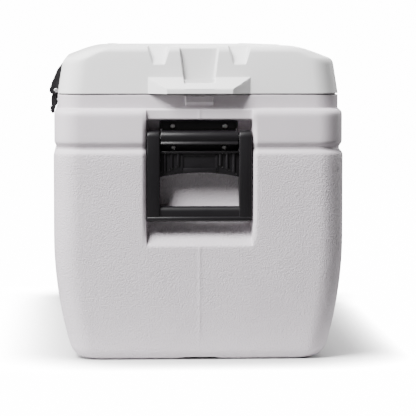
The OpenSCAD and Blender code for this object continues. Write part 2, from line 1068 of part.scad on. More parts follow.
module drain_spout() {
    at_drain(0)
        difference() {
            union() {
                translate([0, 0, drain_face + 1.2])
                    cylinder(r = 18, h = 2.5, $fn = fine);
                translate([0, 0, spout_end])
                    cylinder(r = drain_radius, h = drain_face + 12 - spout_end, $fn = fine);
            }
            translate([0, 0, 150])
                cylinder(r = drain_radius - 3, h = 80, $fn = fine);
        }
}

module drain_washer() {
    at_drain(drain_face + hair)
        difference() {
            cylinder(r = 18, h = 1.1, $fn = fine);
            translate([0, 0, -over])
                cylinder(r = drain_radius + hair, h = 2 * over, $fn = fine);
        }
}

module drain_nut() {
    at_drain(spout_end + 0.5)
        difference() {
            cylinder(r = 14.5, h = 4.5, $fn = 8);
            translate([0, 0, -over])
                cylinder(r = drain_radius + hair, h = 2 * over, $fn = fine);
        }
}

module drain_cap() {
    at_drain(drain_face + 4)
        difference() {
            union() {
                cylinder(r = 16.5, h = 10.5, $fn = fine);
                for (i = [0 : 11])
                    rotate([0, 0, 30 * i])
                        translate([16, 0, 0])
                            cylinder(r = 1.6, h = 10.5, $fn = 16);
            }
            translate([0, 0, -over])
                cylinder(r = drain_radius + hair, h = over + 8.1, $fn = fine);
        }
}

// ---- pieces ----

body_shell();
body_liner();
body_insulation();
lid_shell();
lid_liner();
lid_insulation();
color(black) handle_bracket();  // handle_bracket_near
color(black) mirror([1, 0, 0]) handle_bracket();  // handle_bracket_far
color(black) handle_bail();  // handle_bail_near
color(black) mirror([1, 0, 0]) handle_bail();  // handle_bail_far
color(steel) handle_rod();  // handle_rod_near
color(steel) mirror([1, 0, 0]) handle_rod();  // handle_rod_far
color(steel) handle_screws();  // handle_screws_near
color(steel) mirror([1, 0, 0]) handle_screws();  // handle_screws_far
color(black) latch_mount(latch_places[0]);  // latch_mount_left
color(black) latch_strap(latch_places[0]);  // latch_strap_left
color(steel) latch_pin(latch_places[0]);  // latch_pin_left
color(black) latch_mount(latch_places[1]);  // latch_mount_right
color(black) latch_strap(latch_places[1]);  // latch_strap_right
color(steel) latch_pin(latch_places[1]);  // latch_pin_right
color(black) latch_keepers();
color(steel) latch_lid_screws();
color(steel) latch_keeper_screws();
color(steel) hinge_lid_leaves();
color(steel) hinge_body_leaves();
color(steel) hinge_pins();
color(steel) hinge_lid_screws();
color(steel) hinge_body_screws();
color(steel) axle();
color(steel) axle_washers();
color(steel) axle_caps();
color(grey) place_wheel(-1) rim_form();  // wheel_rim_front
color(rubber) place_wheel(-1) tyre_form();  // tyre_front
color(black) place_wheel(-1) hub_cap_form();  // hub_cap_front
color(grey) place_wheel(1) rim_form();  // wheel_rim_back
color(rubber) place_wheel(1) tyre_form();  // tyre_back
color(black) place_wheel(1) hub_cap_form();  // hub_cap_back
color(white) drain_spout();
color(rubber) drain_washer();
color(white) drain_nut();
color(white) drain_cap();
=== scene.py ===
import bmesh
import bpy
import math
from mathutils import Matrix, Vector


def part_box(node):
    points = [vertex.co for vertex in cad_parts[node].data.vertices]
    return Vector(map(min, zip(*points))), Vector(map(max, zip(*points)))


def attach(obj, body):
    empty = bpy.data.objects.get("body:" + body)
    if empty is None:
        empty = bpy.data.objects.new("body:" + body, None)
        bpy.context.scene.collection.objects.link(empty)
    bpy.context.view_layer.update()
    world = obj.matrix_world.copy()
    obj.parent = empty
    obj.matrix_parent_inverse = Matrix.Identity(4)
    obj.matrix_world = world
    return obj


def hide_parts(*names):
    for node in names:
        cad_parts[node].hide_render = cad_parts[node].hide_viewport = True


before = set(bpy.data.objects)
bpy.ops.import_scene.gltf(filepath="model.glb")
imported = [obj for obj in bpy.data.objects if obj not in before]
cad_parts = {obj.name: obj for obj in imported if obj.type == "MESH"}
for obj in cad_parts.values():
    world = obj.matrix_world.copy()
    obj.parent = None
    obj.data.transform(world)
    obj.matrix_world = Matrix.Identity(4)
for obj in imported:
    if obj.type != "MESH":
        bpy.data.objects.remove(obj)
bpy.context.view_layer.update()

# ---------------------------------------------------------------- the tub
# A rotary-moulded outer tub in white polyethylene: bowed sides, a waist groove, a stepped rim and a deep
# handle pocket in each end. Below the groove the mould was grained, above it the plastic is smooth.
MM = 0.001
shell_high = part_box("body_shell")[1]
half_length = shell_high[0] / MM
half_width = shell_high[1] / MM


def new_material(name):
    material = bpy.data.materials.new(name)
    material.use_nodes = True
    nodes = material.node_tree.nodes
    shader = next(n for n in nodes if n.type == "BSDF_PRINCIPLED")
    return material, nodes, material.node_tree.links, shader


def node_with(nodes, kind, values):
    """A new shader node with some of its inputs set."""
    node = nodes.new(kind)
    for label, value in values.items():
        node.inputs[label].default_value = value
    return node


def ramp_between(nodes, links, source, first, last):
    """A colour ramp between two stops, each given as (position, colour)."""
    ramp = nodes.new("ShaderNodeValToRGB")
    for stop, (position, colour) in zip(ramp.color_ramp.elements, (first, last)):
        stop.position = position
        stop.color = (*colour, 1)
    links.new(source, ramp.inputs["Fac"])
    return ramp.outputs["Color"]


def object_noise(nodes, links, scale, detail, rough=0.55):
    noise = node_with(nodes, "ShaderNodeTexNoise", {"Scale": scale, "Detail": detail, "Roughness": rough})
    links.new(nodes.new("ShaderNodeTexCoord").outputs["Object"], noise.inputs["Vector"])
    return noise.outputs[0]


def tone_between(nodes, links, noise, dark, light):
    return ramp_between(nodes, links, noise, (0.35, dark), (0.65, light))


def moulded_plastic(
    name, dark, light, gloss, grain=None, grain_size=400, grain_depth=0.25, grain_below=None, shine=0.4,
):
    """Plastic with a slow change of tone, a wavy wall and, where the mould was grained, a pebbled skin."""
    material, nodes, links, shader = new_material(name)
    tone = tone_between(nodes, links, object_noise(nodes, links, 9, 2), dark, light)
    links.new(tone, shader.inputs["Base Color"])
    rough = node_with(nodes, "ShaderNodeMapRange", {"To Min": gloss - 0.04, "To Max": gloss + 0.05})
    links.new(object_noise(nodes, links, 38, 4), rough.inputs["Value"])
    links.new(rough.outputs["Result"], shader.inputs["Roughness"])
    wave = node_with(nodes, "ShaderNodeBump", {"Strength": 0.18, "Distance": 0.002})
    links.new(object_noise(nodes, links, 14, 1), wave.inputs["Height"])
    last = wave
    if grain:
        bump = node_with(nodes, "ShaderNodeBump", {"Strength": grain_depth, "Distance": grain})
        links.new(object_noise(nodes, links, grain_size, 2, 0.6), bump.inputs["Height"])
        links.new(wave.outputs["Normal"], bump.inputs["Normal"])
        if grain_below is not None:
            height = nodes.new("ShaderNodeSeparateXYZ")
            fade = node_with(nodes, "ShaderNodeMapRange", {
                "From Min": grain_below, "From Max": grain_below + 0.004,
                "To Min": grain_depth, "To Max": grain_depth * 0.12,
            })
            links.new(nodes.new("ShaderNodeTexCoord").outputs["Object"], height.inputs["Vector"])
            links.new(height.outputs["Z"], fade.inputs["Value"])
            links.new(fade.outputs["Result"], bump.inputs["Strength"])
        last = bump
    links.new(last.outputs["Normal"], shader.inputs["Normal"])
    shader.inputs["Specular IOR Level"].default_value = shine
    return material


tub_white = moulded_plastic(
    "tub_white", (0.58, 0.535, 0.57), (0.61, 0.565, 0.60), 0.55,
    grain=0.002, grain_size=430, grain_depth=0.8, grain_below=0.336,
)


def rounded_path(points, cuts, steps=4):
    """Points are (key, numbers...). Each inner corner is cut back by its own length and made a curve."""
    path = [tuple(points[0])]
    for i in range(1, len(points) - 1):
        spans = []
        for other in (points[i - 1], points[i + 1]):
            size = math.sqrt(sum((a - b) ** 2 for a, b in zip(other[1:], points[i][1:])))
            spans.append(min(0.45, cuts[i] / max(size, 1e-6)))
        if cuts[i] <= 0:
            path.append(tuple(points[i]))
            continue
        start = [b + (a - b) * spans[0] for a, b in zip(points[i - 1], points[i])]
        end = [b + (a - b) * spans[1] for a, b in zip(points[i + 1], points[i])]
        for k in range(steps + 1):
            t = k / steps
            path.append(tuple(
                (1 - t) ** 2 * a + 2 * t * (1 - t) * b + t * t * c
                for a, b, c in zip(start, points[i], end)
            ))
    path.append(tuple(points[-1]))
    return path


def along(path, key):
    """The numbers of a path at one key, between the points on either side of it."""
    if key <= path[0][0]:
        return path[0][1:]
    for a, b in zip(path, path[1:]):
        if key <= b[0]:
            t = (key - a[0]) / (b[0] - a[0]) if b[0] > a[0] else 0
            return tuple(p + (q - p) * t for p, q in zip(a[1:], b[1:]))
    return path[-1][1:]


bow_radius, bow_start = 650, 205
base_round, base_lean = 34, math.radians(15.6)
end_round = 18.0
fuller = 2.0  # how much the skin stands out past the plain walls at each side
edge_top = base_round * (1 - math.sin(base_lean))


def bow(z):
    """How far the bowed wall stands in from the widest line."""
    return bow_radius - math.sqrt(bow_radius**2 - (bow_start - z) ** 2) if z < bow_start else 0.0


def low_wall(z):
    """The bowed side wall, with the round at its foot."""
    if z >= edge_top:
        return bow(z)
    flat = bow(edge_top) + base_round * math.cos(base_lean)
    return flat - math.sqrt(base_round**2 - (base_round - z) ** 2)


def end_wall(z):
    """The ends are flatter than the sides, with a smaller round at the foot."""
    rounding = end_round - math.sqrt(end_round**2 - (end_round - z) ** 2) if z < end_round else 0.0
    return 0.38 * bow(max(z, end_round)) + rounding


# outer wall from the sill of the pocket to the shoulder: (key, height, in at the sides, in at the ends)
wall_path = rounded_path([
    (-0.04, 180, bow(180), end_wall(180)),
    (0.05, 200, bow(200), end_wall(200)),
    (0.20, 236, 0, 0),
    (0.50, 338, 0, 0),
    (0.53, 344.2, 5.6, 5.6),
    (0.545, 348.4, 5.6, 5.6),
    (0.575, 355.4, 1.3, 1.3),
    (0.80, 402, 1.3, 1.3),
    (0.86, 408.0, 2.4, 5.0),
    (0.90, 411, 5.3, 15.0),
    (0.93, 414, 5.3, 15.0),
], [0, 12, 20, 4.5, 1.6, 1.6, 3.5, 6, 2.0, 1.6, 0], 4)
pocket_depth = 38.0
# the pocket: (key, depth from the end, height)
pocket_path = rounded_path([
    (-0.04, end_wall(180), 180),
    (0.0, end_wall(187.5), 187.5),
    (0.08, 20, 206),
    (0.13, 27, 217),
    (0.20, 34, 238),
    (0.28, pocket_depth, 262),
    (0.66, pocket_depth, 393),
    (0.76, 9.3, 393),
    (0.88, 9.3, 409),
    (0.90, 15, 411),
    (0.93, 15, 414),
], [0, 3, 4, 6, 12, 14, 5, 3, 1.5, 1.2, 0], 4)

tub_rows = []
for i in range(9):
    z = edge_top * (1 - math.cos(math.radians(90 / 8 * i)))
    tub_rows.append((z, low_wall(z), end_wall(z), None))
for i in range(1, 13):
    z = edge_top + (180 - edge_top) * i / 13
    tub_rows.append((z, bow(z), end_wall(z), None))
keys = {round(p[0], 5) for p in wall_path + pocket_path} | {0.33, 0.38, 0.43, 0.63, 0.72}
for key in sorted(keys):
    z, side_in, end_in = along(wall_path, key)
    tub_rows.append((z, side_in, end_in, along(pocket_path, key)))
rim_in_side, rim_in_end = 5.3, 15
rim_rows = [(z, 0) for z in (416.5, 418.5, 421, 426, 430.3, 431.8)]
rim_rows += [(432.6, 0.3), (433, 1.0), (433, 2.6)]
for z, extra in rim_rows:
    tub_rows.append((z, rim_in_side + extra, rim_in_end + extra, None))

# columns across half an end: (distance from the middle, share of the pocket's depth)
across = [(y, 1.0) for y in (0, 0.7, 1.4, 7, 14, 20, 22, 23.6, 30, 38, 46, 54, 62, 70, 76)]
pocket_side = [(0, 79, pocket_depth), (1, 85.6, pocket_depth), (2, 86.9, 6), (3, 92.5, 0), (4, 97.5, 0)]
across += [(p[1], p[2] / pocket_depth) for p in rounded_path(pocket_side, [0, 6, 2.2, 3.2, 0], 5)]
beyond = 7
corner_steps = 16
side_steps = 12


def outline_columns():
    """One quarter of the ring, from the middle of an end to the middle of a side."""
    columns = [("end", y, w) for y, w in across]
    columns += [("beyond", i / beyond, 0.0) for i in range(1, beyond + 1)]
    columns += [("corner", 90.0 * i / corner_steps, 0.0) for i in range(1, corner_steps + 1)]
    columns += [("side", 1 - i / side_steps, 0.0) for i in range(1, side_steps + 1)]
    return columns


def ring_of(columns, place):
    """Four quarters joined into one closed ring of points. place(column, x sign, y sign) gives each point."""
    ring = []
    for sx, sy, backwards in ((1, 1, False), (-1, 1, True), (-1, -1, False), (1, -1, True)):
        quarter = columns[::-1] if backwards else columns
        ring += [place(c, sx, sy) for c in quarter[:-1]]
    return ring


def skin(rings):
    """Quads between rings of the same length, as a bmesh."""
    bm = bmesh.new()
    rows = [[bm.verts.new(Vector(p) * MM) for p in ring] for ring in rings]
    n = len(rings[0])
    for low, high in zip(rows, rows[1:]):
        for i in range(n):
            bm.faces.new((low[i], low[(i + 1) % n], high[(i + 1) % n], high[i]))
    return bm, rows


tip_foot, tip_run, tip_rise = 72, 82, 62
boss_half = 22
channel_half, channel_rise = 31.5, 4


def tub_point(row, column, sx, sy):
    z, side_in, end_in, pocket = row
    kind, value, share = column
    a = half_length - end_in
    b = half_width - side_in + fuller * min(1.0, max(0.0, (409 - z) / 4))
    r = 42 - side_in * 0.2
    if sx < 0:
        # slope behind the axle, so that the chest can be tipped on to its wheels
        a = min(a, half_length - (tip_foot - z * tip_run / tip_rise))
    if kind == "end":
        x, y = a, value
        if pocket is not None:
            deep, level = pocket
            x += (half_length - deep - x) * share
            z += (level - z) * share
        if z > 415:
            # boss on the rim that keeps the lift lip off the wall
            rise = min(1, max(0, (z - 416) / 4)) if z < 425 else min(1, max(0, (432.0 - z) / 1.6))
            x += 8 * rise if value <= boss_half else 0.0
        if value < 1.0 and (z < 187 or z > 393.5) and 30 < z < 410:
            # parting line of the mould
            x += 0.22
        if z < channel_rise and value < channel_half:
            z += (channel_rise - z) * min(1.0, (channel_half - value) / 4)
    elif kind == "beyond":
        x, y = a, across[-1][0] + (b - r - across[-1][0]) * value
    elif kind == "corner":
        t = math.radians(value)
        x, y = a - r + r * math.cos(t), b - r + r * math.sin(t)
    else:
        x, y = (a - r) * value, b
    x -= 2.5 * (y / half_width) ** 2 * (x / half_length)
    return (sx * x, sy * y, z)


columns = outline_columns()
rings = [ring_of(columns, lambda c, sx, sy, row=row: tub_point(row, c, sx, sy)) for row in tub_rows]
tub, rows = skin(rings)
# the base: strips from end to end, with the channel down the middle, and one flat strip at each side
quarter = len(columns) - 1
end_count = len(across) + beyond
base = rows[0]
ring_size = len(base)
near = [base[i % ring_size] for i in range(-(end_count - 1), end_count)]
far = [base[2 * quarter - i] for i in range(-(end_count - 1), end_count)]
for i in range(len(near) - 1):
    tub.faces.new((near[i + 1], near[i], far[i], far[i + 1]))
for first, last in ((2 * quarter, end_count - 1), (ring_size, 2 * quarter + end_count - 1)):
    tub.faces.new([base[i % ring_size] for i in range(first - (end_count - 1), last - 1, -1)])
tub.faces.new(rows[-1])
bmesh.ops.recalc_face_normals(tub, faces=tub.faces)


def linked(name, data):
    obj = bpy.data.objects.new(name, data)
    bpy.context.scene.collection.objects.link(obj)
    return obj


def object_from(name, bm):
    mesh = bpy.data.meshes.new(name)
    bm.to_mesh(mesh)
    bm.free()
    return linked(name, mesh)


def baked(obj):
    """Applies the modifiers of obj, so that it is a plain mesh object."""
    bpy.context.view_layer.update()
    graph = bpy.context.evaluated_depsgraph_get()
    mesh = bpy.data.meshes.new_from_object(obj.evaluated_get(graph))
    obj.modifiers.clear()
    old = obj.data
    obj.data = mesh
    bpy.data.meshes.remove(old)


def thicken(obj, wall):
    """Gives a single skin a wall, inwards."""
    change = obj.modifiers.new("wall", "SOLIDIFY")
    change.thickness = wall
    change.offset = -1
    baked(obj)


def soften(obj, angle=35):
    """Smooth shading, with edges sharper than the angle kept."""
    obj.data.shade_smooth()
    obj.data.set_sharp_from_angle(angle=math.radians(angle))


def subtract(obj, cutters):
    for cutter in cutters:
        change = obj.modifiers.new("cut", "BOOLEAN")
        change.operation = "DIFFERENCE"
        change.solver = "EXACT"
        change.object = cutter
    baked(obj)
    for cutter in cutters:
        mesh = cutter.data
        bpy.data.objects.remove(cutter)
        bpy.data.meshes.remove(mesh)


# cutters for the wheel wells: an arch open to the side, the end and the floor, its lip flared where it
# meets the bowed wall
axle_low, axle_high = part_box("axle")
axle_x = (axle_low[0] + axle_high[0]) / 2 / MM
axle_z = (axle_low[2] + axle_high[2]) / 2 / MM
well_radius = 82.0
well_inner = 178.0


def well_cutter(side):
    lip = 4.0
    turns = [math.radians(90 * i / 24) for i in range(25)]
    # from the deep end outwards: (how far inside the wall, how much wider the arch is there)
    inside = [lip * share for share in (1, 0.72, 0.5, 0.32, 0.18, 0.08)]
    flare = [(s, lip - math.sqrt(lip**2 - (lip - s) ** 2)) for s in inside]
    rings = []
    for s, wider in [(None, 0.0), *flare, (-14.0, flare[-1][1] + 12)]:
        r = well_radius + wider
        points = [(axle_x + r, -30), (axle_x + r, axle_z * 0.4)]
        points += [(axle_x + r * math.cos(t), axle_z + r * math.sin(t)) for t in turns]
        points += [(axle_x - 40, axle_z + r), (-half_length - 40, axle_z + r), (-half_length - 40, -30)]
        ring = []
        for x, z in points:
            wall = half_width + fuller - low_wall(max(z, 42.0)) - 2.5
            ring.append((x, side * (well_inner if s is None else wall - s), z))
        rings.append(ring)
    bm, rows = skin(rings)
    bm.faces.new(rows[0])
    bm.faces.new(rows[-1])
    bmesh.ops.triangulate(bm, faces=[f for f in bm.faces if len(f.verts) > 4])
    bmesh.ops.recalc_face_normals(bm, faces=bm.faces)
    return object_from("well_cutter", bm)


def lathe(profile, centre, axis, steps=48):
    """Closed profile of (radius, height) turned about an axis through centre."""
    bm = bmesh.new()
    along_axis = Vector(axis).normalized()
    side = along_axis.orthogonal().normalized()
    if abs(along_axis.z) < 0.9:
        side = along_axis.cross(Vector((0, 0, 1))).normalized()
    up = along_axis.cross(side)
    rings = []
    for r, h in profile:
        if r <= 1e-6:
            rings.append([bm.verts.new((Vector(centre) + along_axis * h) * MM)])
            continue
        ring = []
        for i in range(steps):
            t = 2 * math.pi * i / steps
            outward = side * math.cos(t) + up * math.sin(t)
            ring.append(bm.verts.new((Vector(centre) + along_axis * h + outward * r) * MM))
        rings.append(ring)
    closed = profile[0][0] > 1e-6 and profile[-1][0] > 1e-6
    pairs = list(zip(rings, rings[1:])) + ([(rings[-1], rings[0])] if closed else [])
    for low, high in pairs:
        for i in range(steps):
            j = (i + 1) % steps
            if len(low) == 1:
                bm.faces.new((low[0], high[j], high[i]))
            elif len(high) == 1:
                bm.faces.new((low[i], low[j], high[0]))
            else:
                bm.faces.new((low[i], low[j], high[j], high[i]))
    bmesh.ops.recalc_face_normals(bm, faces=bm.faces)
    return bm


spout_low, spout_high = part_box("drain_spout")
drain_x = (spout_low[0] + spout_high[0]) / 2 / MM
drain_z = (spout_low[2] + spout_high[2]) / 2 / MM
drain_cut = object_from("drain_cutter", lathe(
    [(0, 203), (26, 203), (26.6, 205), (27.2, 212), (30, 222), (34, 232), (38, 240), (0, 240)],
    (drain_x, 0, drain_z), (0, 1, 0)))
drain_bore = object_from("drain_bore", lathe(
    [(0, 170), (12.3, 170), (12.3, 206), (0, 206)], (drain_x, 0, drain_z), (0, 1, 0)))
tunnel = object_from("axle_tunnel", lathe(
    [(0, -190), (6.4, -190), (6.4, 190), (0, 190)], (axle_x, 0, axle_z), (0, 1, 0)))

tub_obj = object_from("tub", tub)
subtract(tub_obj, [well_cutter(-1), well_cutter(1), drain_cut, drain_bore, tunnel])
bm = bmesh.new()
bm.from_mesh(tub_obj.data)
# the mouth is opened by taking away the one large face at the top
top_faces = [f for f in bm.faces if f.normal.z > 0.9 and f.calc_center_median().z > 0.4325]
bmesh.ops.delete(bm, geom=[f for f in top_faces if f.calc_area() > 0.05], context="FACES")
bm.to_mesh(tub_obj.data)
bm.free()
thicken(tub_obj, 0.003)
soften(tub_obj, 32)


def finish_piece(obj, material, body, slot, *nodes):
    obj.data.materials.clear()
    obj.data.materials.append(material)
    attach(obj, body)
    if nodes:
        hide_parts(*nodes)


finish_piece(tub_obj, tub_white, "tub", "white_plastic", "body_shell")

# ---------------------------------------------------------------- the liner
# The inner tub, smooth white plastic, drops into the shell and hangs from a flat flange round the rim.
# Its floor is raised over the axle.
def plain_ring(a, b, r, z, steps=14, side=10, end=6):
    quarter = [("end", i / end) for i in range(end + 1)]
    quarter += [("corner", 90 * i / steps) for i in range(1, steps + 1)]
    quarter += [("side", 1 - i / side) for i in range(1, side + 1)]

    def place(c, sx, sy):
        kind, v = c
        if kind == "end":
            x, y = a, (b - r) * v
        elif kind == "corner":
            x, y = a - r + r * math.cos(math.radians(v)), b - r + r * math.sin(math.radians(v))
        else:
            x, y = (a - r) * v, b
        return (sx * x, sy * y, z)

    return ring_of(quarter, place)


def loft(rings):
    """Closed solid through rings of points, flat at both ends."""
    bm, rows = skin(rings)
    bm.faces.new(rows[0])
    bm.faces.new(rows[-1])
    bmesh.ops.recalc_face_normals(bm, faces=bm.faces)
    return bm


def round_edges(bm, edges, rounding, steps):
    bmesh.ops.bevel(
        bm, geom=edges, offset=rounding * MM, segments=steps, profile=0.5, affect="EDGES", clamp_overlap=True,
    )


def box_part(low, high, rounding=0.0, steps=3):
    bm = bmesh.new()
    bmesh.ops.create_cube(bm, size=1)
    for v in bm.verts:
        v.co = Vector([(l + h) / 2 + c * (h - l) for l, h, c in zip(low, high, v.co)]) * MM
    if rounding:
        round_edges(bm, bm.edges[:], rounding, steps)
    return bm


def prism(outline, axis, low, high, rounding=0.0, steps=3, corner=25):
    """Solid with a flat outline: (y, z) along x, (x, z) along y, (x, y) along z. Sharp edges are rounded."""
    def place(u, v, w):
        return {"x": (w, u, v), "y": (u, w, v), "z": (u, v, w)}[axis]

    bm = bmesh.new()
    first = [bm.verts.new(Vector(place(u, v, low)) * MM) for u, v in outline]
    last = [bm.verts.new(Vector(place(u, v, high)) * MM) for u, v in outline]
    bm.faces.new(first)
    bm.faces.new(last)
    for i in range(len(outline)):
        j = (i + 1) % len(outline)
        bm.faces.new((first[i], first[j], last[j], last[i]))
    bmesh.ops.recalc_face_normals(bm, faces=bm.faces)
    if rounding:
        edges = [e for e in bm.edges if e.calc_face_angle(0) > math.radians(corner)]
        round_edges(bm, edges, rounding, steps)
    return bm


def gather(whole, parts):
    """Adds closed solids, each held as a bmesh, to one bmesh."""
    for part in parts:
        step = bpy.data.meshes.new("part")
        part.to_mesh(step)
        part.free()
        whole.from_mesh(step)
        bpy.data.meshes.remove(step)
    return whole


def piece_from(name, parts):
    """One smooth object from several closed solids."""
    obj = object_from(name, gather(bmesh.new(), parts))
    soften(obj)
    return obj


liner_white = moulded_plastic("liner_white", (0.78, 0.775, 0.765), (0.81, 0.805, 0.795), 0.3)
liner_low, liner_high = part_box("body_liner")
flange_a, flange_b = liner_high[0] / MM, liner_high[1] / MM
liner_top = liner_high[2] / MM
liner_floor = liner_low[2] / MM
bore_a, bore_b = half_length - 52, 187.0


def liner_wall(z):
    t = (z - liner_floor) / (liner_top - liner_floor)
    return bore_a - 13 * (1 - t), bore_b - 14 * (1 - t)


def liner_rings(extra, floor, top):
    """The bottom corner and the wall, from the floor up, moved out by extra."""
    rings = []
    a, b = liner_wall(liner_floor + 3)
    for k in range(8):
        turn = math.radians(90 * k / 7)
        inset = 16 * (1 - math.sin(turn)) - extra
        rings.append(plain_ring(a - inset, b - inset, 36 - inset * 0.9, floor + 16 * (1 - math.cos(turn))))
    for z in (100, 180, 260, 340, top):
        a, b = liner_wall(z)
        rings.append(plain_ring(a + extra, b + extra, 36 + extra, z))
    return rings


rings = liner_rings(2.6, liner_floor, liner_top - 6)
rings += [plain_ring(flange_a, flange_b, 39, liner_top - h) for h in (3, 0.6)]
rings += [plain_ring(flange_a - 0.6, flange_b - 0.6, 38.4, liner_top)]
for grow, drop in ((7, 0), (5, 0.1), (3, 0.7), (1.2, 2.2), (0.3, 4.4)):
    rings.append(plain_ring(bore_a + grow, bore_b + grow, 36 + grow, liner_top - drop))
rings += liner_rings(0, liner_floor + 3, liner_top - 7)[::-1]
tub_part = loft(rings)
# the step over the axle: (height of the wall that it stands in, its own height, how far its nose rounds back)
step_front = -362
nose = []
for wall_z, z, back in ((50, 40, 0), (181, 163, 0), (181, 174, 2.5), (181, 179.5, 9.5), (181, 181, 18)):
    a, b = liner_wall(wall_z)
    x0, x1, y1 = -(a + 1.2), step_front - back, b + 1.2
    nose.append([(x0, -y1, z), (x1, -y1, z), (x1, y1, z), (x0, y1, z)])
step_part = loft(nose)
liner = piece_from("liner", [tub_part, step_part])
finish_piece(liner, liner_white, "tub", "liner_plastic", "body_liner")

# ---------------------------------------------------------------- the foam
# Rigid foam fills the walls of the tub and the lid, drawn a little thin so that it never shows through.
foam, nodes, links, shader = new_material("foam_yellow")
tone = tone_between(nodes, links, object_noise(nodes, links, 120, 5), (0.62, 0.50, 0.27), (0.74, 0.62, 0.38))
links.new(tone, shader.inputs["Base Color"])
shader.inputs["Roughness"].default_value = 0.9
rings = [
    plain_ring(508 - inset, 210 - inset * 1.9, 30, z)
    for inset, z in ((0, 436.4), (3, 470), (14, 478), (18, 496), (24, 504))
]
lid_foam = piece_from("lid_foam", [loft(rings)])
finish_piece(lid_foam, foam, "lid", "foam", "lid_insulation")

foam_bm = bmesh.new()
foam_bm.from_mesh(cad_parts["body_insulation"].data)
bmesh.ops.remove_doubles(foam_bm, verts=foam_bm.verts, dist=1e-6)
foam_bm.normal_update()
foam_gap = 0.0012
for v, away in [(v, v.normal.copy()) for v in foam_bm.verts]:
    v.co -= away * foam_gap
finish_piece(object_from("tub_foam", foam_bm), foam, "tub", "foam", "body_insulation")

# ---------------------------------------------------------------- the lid
# An injection-moulded cover: sloped along the front and back, upright at the ends, with two notches and a
# channel in each end and a hollow lift lip under the channel.
lid_white = moulded_plastic(
    "lid_white", (0.74, 0.735, 0.735), (0.765, 0.76, 0.76), 0.48,
    grain=0.0004, grain_size=900, grain_depth=0.12,
)
lid_box_low, lid_box_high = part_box("lid_shell")
lid_tip = lid_box_high[0] / MM
lid_end = half_length - 15
lid_side = lid_box_high[1] / MM + 2
lid_bottom = lid_box_low[2] / MM

# keys are heights, apart from the first rows, which turn in under the rim:
# (key, height, in at the sides, in at the ends)
lid_path = rounded_path([
    (433.4, lid_bottom, 2.8, 2.8),
    (434.4, lid_bottom, 0, 0),
    (437, 437, 0.2, 0.1),
    (491, 491, 8.6, 4.6),
    (505.5, 504.8, 45, 6.2),
    (510.6, 510.0, 62, 10.5),
    (513.0, 512.8, 76, 30),
    (515.0, 513.6, 90, 60),
    (517, 514, 104, 104),
], [0, 1.3, 0, 8, 10, 10, 14, 10, 0], 5)


def lid_face_x(key):
    return lid_end - along(lid_path, key)[2]


lip_path = rounded_path([
    (433.4, lid_tip - 2.8, lid_bottom),
    (434.4, lid_tip, lid_bottom),
    (443.5, lid_tip - 0.6, 443.5),
    (461.5, lid_face_x(461.5), 461.5),
    (466, lid_face_x(466), 466),
], [0, 1.4, 2.4, 1.4, 0], 4)
slope_x = lid_tip - 0.6 - (451.5 - 443.5) / (461.5 - 443.5) * (lid_tip - 0.6 - lid_face_x(461.5))
channel_path = rounded_path([
    (443.0, lid_tip - 0.57, 443),
    (443.5, lid_tip - 0.6, 443.5),
    (451.5, slope_x, 451.5),
    (453.0, lid_face_x(452) - 8, 452.4),
    (509.0, lid_face_x(489) - 9.5, 509.4),
    (514.0, lid_face_x(514), along(lid_path, 514)[0]),
    (516, lid_face_x(516), along(lid_path, 516)[0]),
], [0, 2.4, 1.4, 3.5, 2.5, 2, 0], 4)
notch_path = rounded_path([
    (480, lid_face_x(480), 480),
    (482.6, lid_face_x(482.6), 482.6),
    (514.0, lid_face_x(514), along(lid_path, 514)[0]),
    (516.4, lid_face_x(516.4), along(lid_path, 516.4)[0]),
], [0, 1.6, 4, 0], 4)

lid_keys = {round(p[0], 4) for path in (lid_path, lip_path, channel_path, notch_path) for p in path}
lid_keys |= {439, 448, 455, 458.5, 460, 461, 462, 462.6, 471, 477, 490, 495, 500, 503}
lid_rows = [(k, *along(lid_path, k)) for k in sorted(lid_keys)]


def taper(key, low, high):
    return min(1.0, max(0.0, (key - low) / (high - low)))


# across half an end: the lift lip ends at lip_half, its front face at lip_front, with a notch round notch_y
lip_half, lip_front, lip_between = 83.5, 53, 68
notch_y, notch_low, notch_high, notch_deep, notch_start = 66, 9, 16.5, 20, 483
# columns: (distance at the lip, above it, at the top, taper from, share of the channel, share of the notch)
lid_across = [(y, y, y * 1.25, 451.5, 1.0, 0.0) for y in (0, 6, 12, 17)]
wall = rounded_path([(0, -5, 8), (1, -0.8, 8), (2, 0.8, 0), (3, 3.5, 0)], [0, 1.8, 1.4, 0], 4)
lid_across += [(24 + p[1], 24 + p[1], 31.5 + p[1], 451.5, p[2] / 8, 0.0) for p in wall]
lid_across += [(*place, notch_start, 0.0, 0.0) for place in ((36, 36, 38.5), (46, 45, 42))]
notch_side = [(0, -5, notch_deep), (1, -1.3, notch_deep), (2, 1.3, 0), (3, 3.5, 0)]
wall = rounded_path(notch_side, [0, 1.6, 1.6, 0], 4)
middle = (len(wall) - 1) / 2
lid_across += [
    (lip_front + (i - middle) * 0.5, notch_y - notch_low - p[1], notch_y - notch_high - p[1],
     notch_start, 0.0, p[2] / notch_deep)
    for i, p in enumerate(wall[::-1])
]
lid_across += [(lip_between, notch_y, notch_y, notch_start, 0.0, 1.0)]
lid_across += [
    (lip_half + (i - middle) * 0.5, notch_y + notch_low + p[1], notch_y + notch_high + p[1],
     notch_start, 0.0, p[2] / notch_deep)
    for i, p in enumerate(wall)
]
lid_across += [(*place, notch_start, 0.0, 0.0) for place in ((89, 84, 89), (93, 88, 92), (98, 97, 98))]
lid_last = 106.0
lid_beyond, lid_corner, lid_sides = 7, 16, 14
lid_columns = [("end", *c) for c in lid_across]
lid_columns += [("beyond", i / lid_beyond) for i in range(0, lid_beyond + 1)]
lid_columns += [("corner", 90 * i / lid_corner) for i in range(1, lid_corner + 1)]
lid_columns += [("side", 1 - i / lid_sides) for i in range(1, lid_sides + 1)]


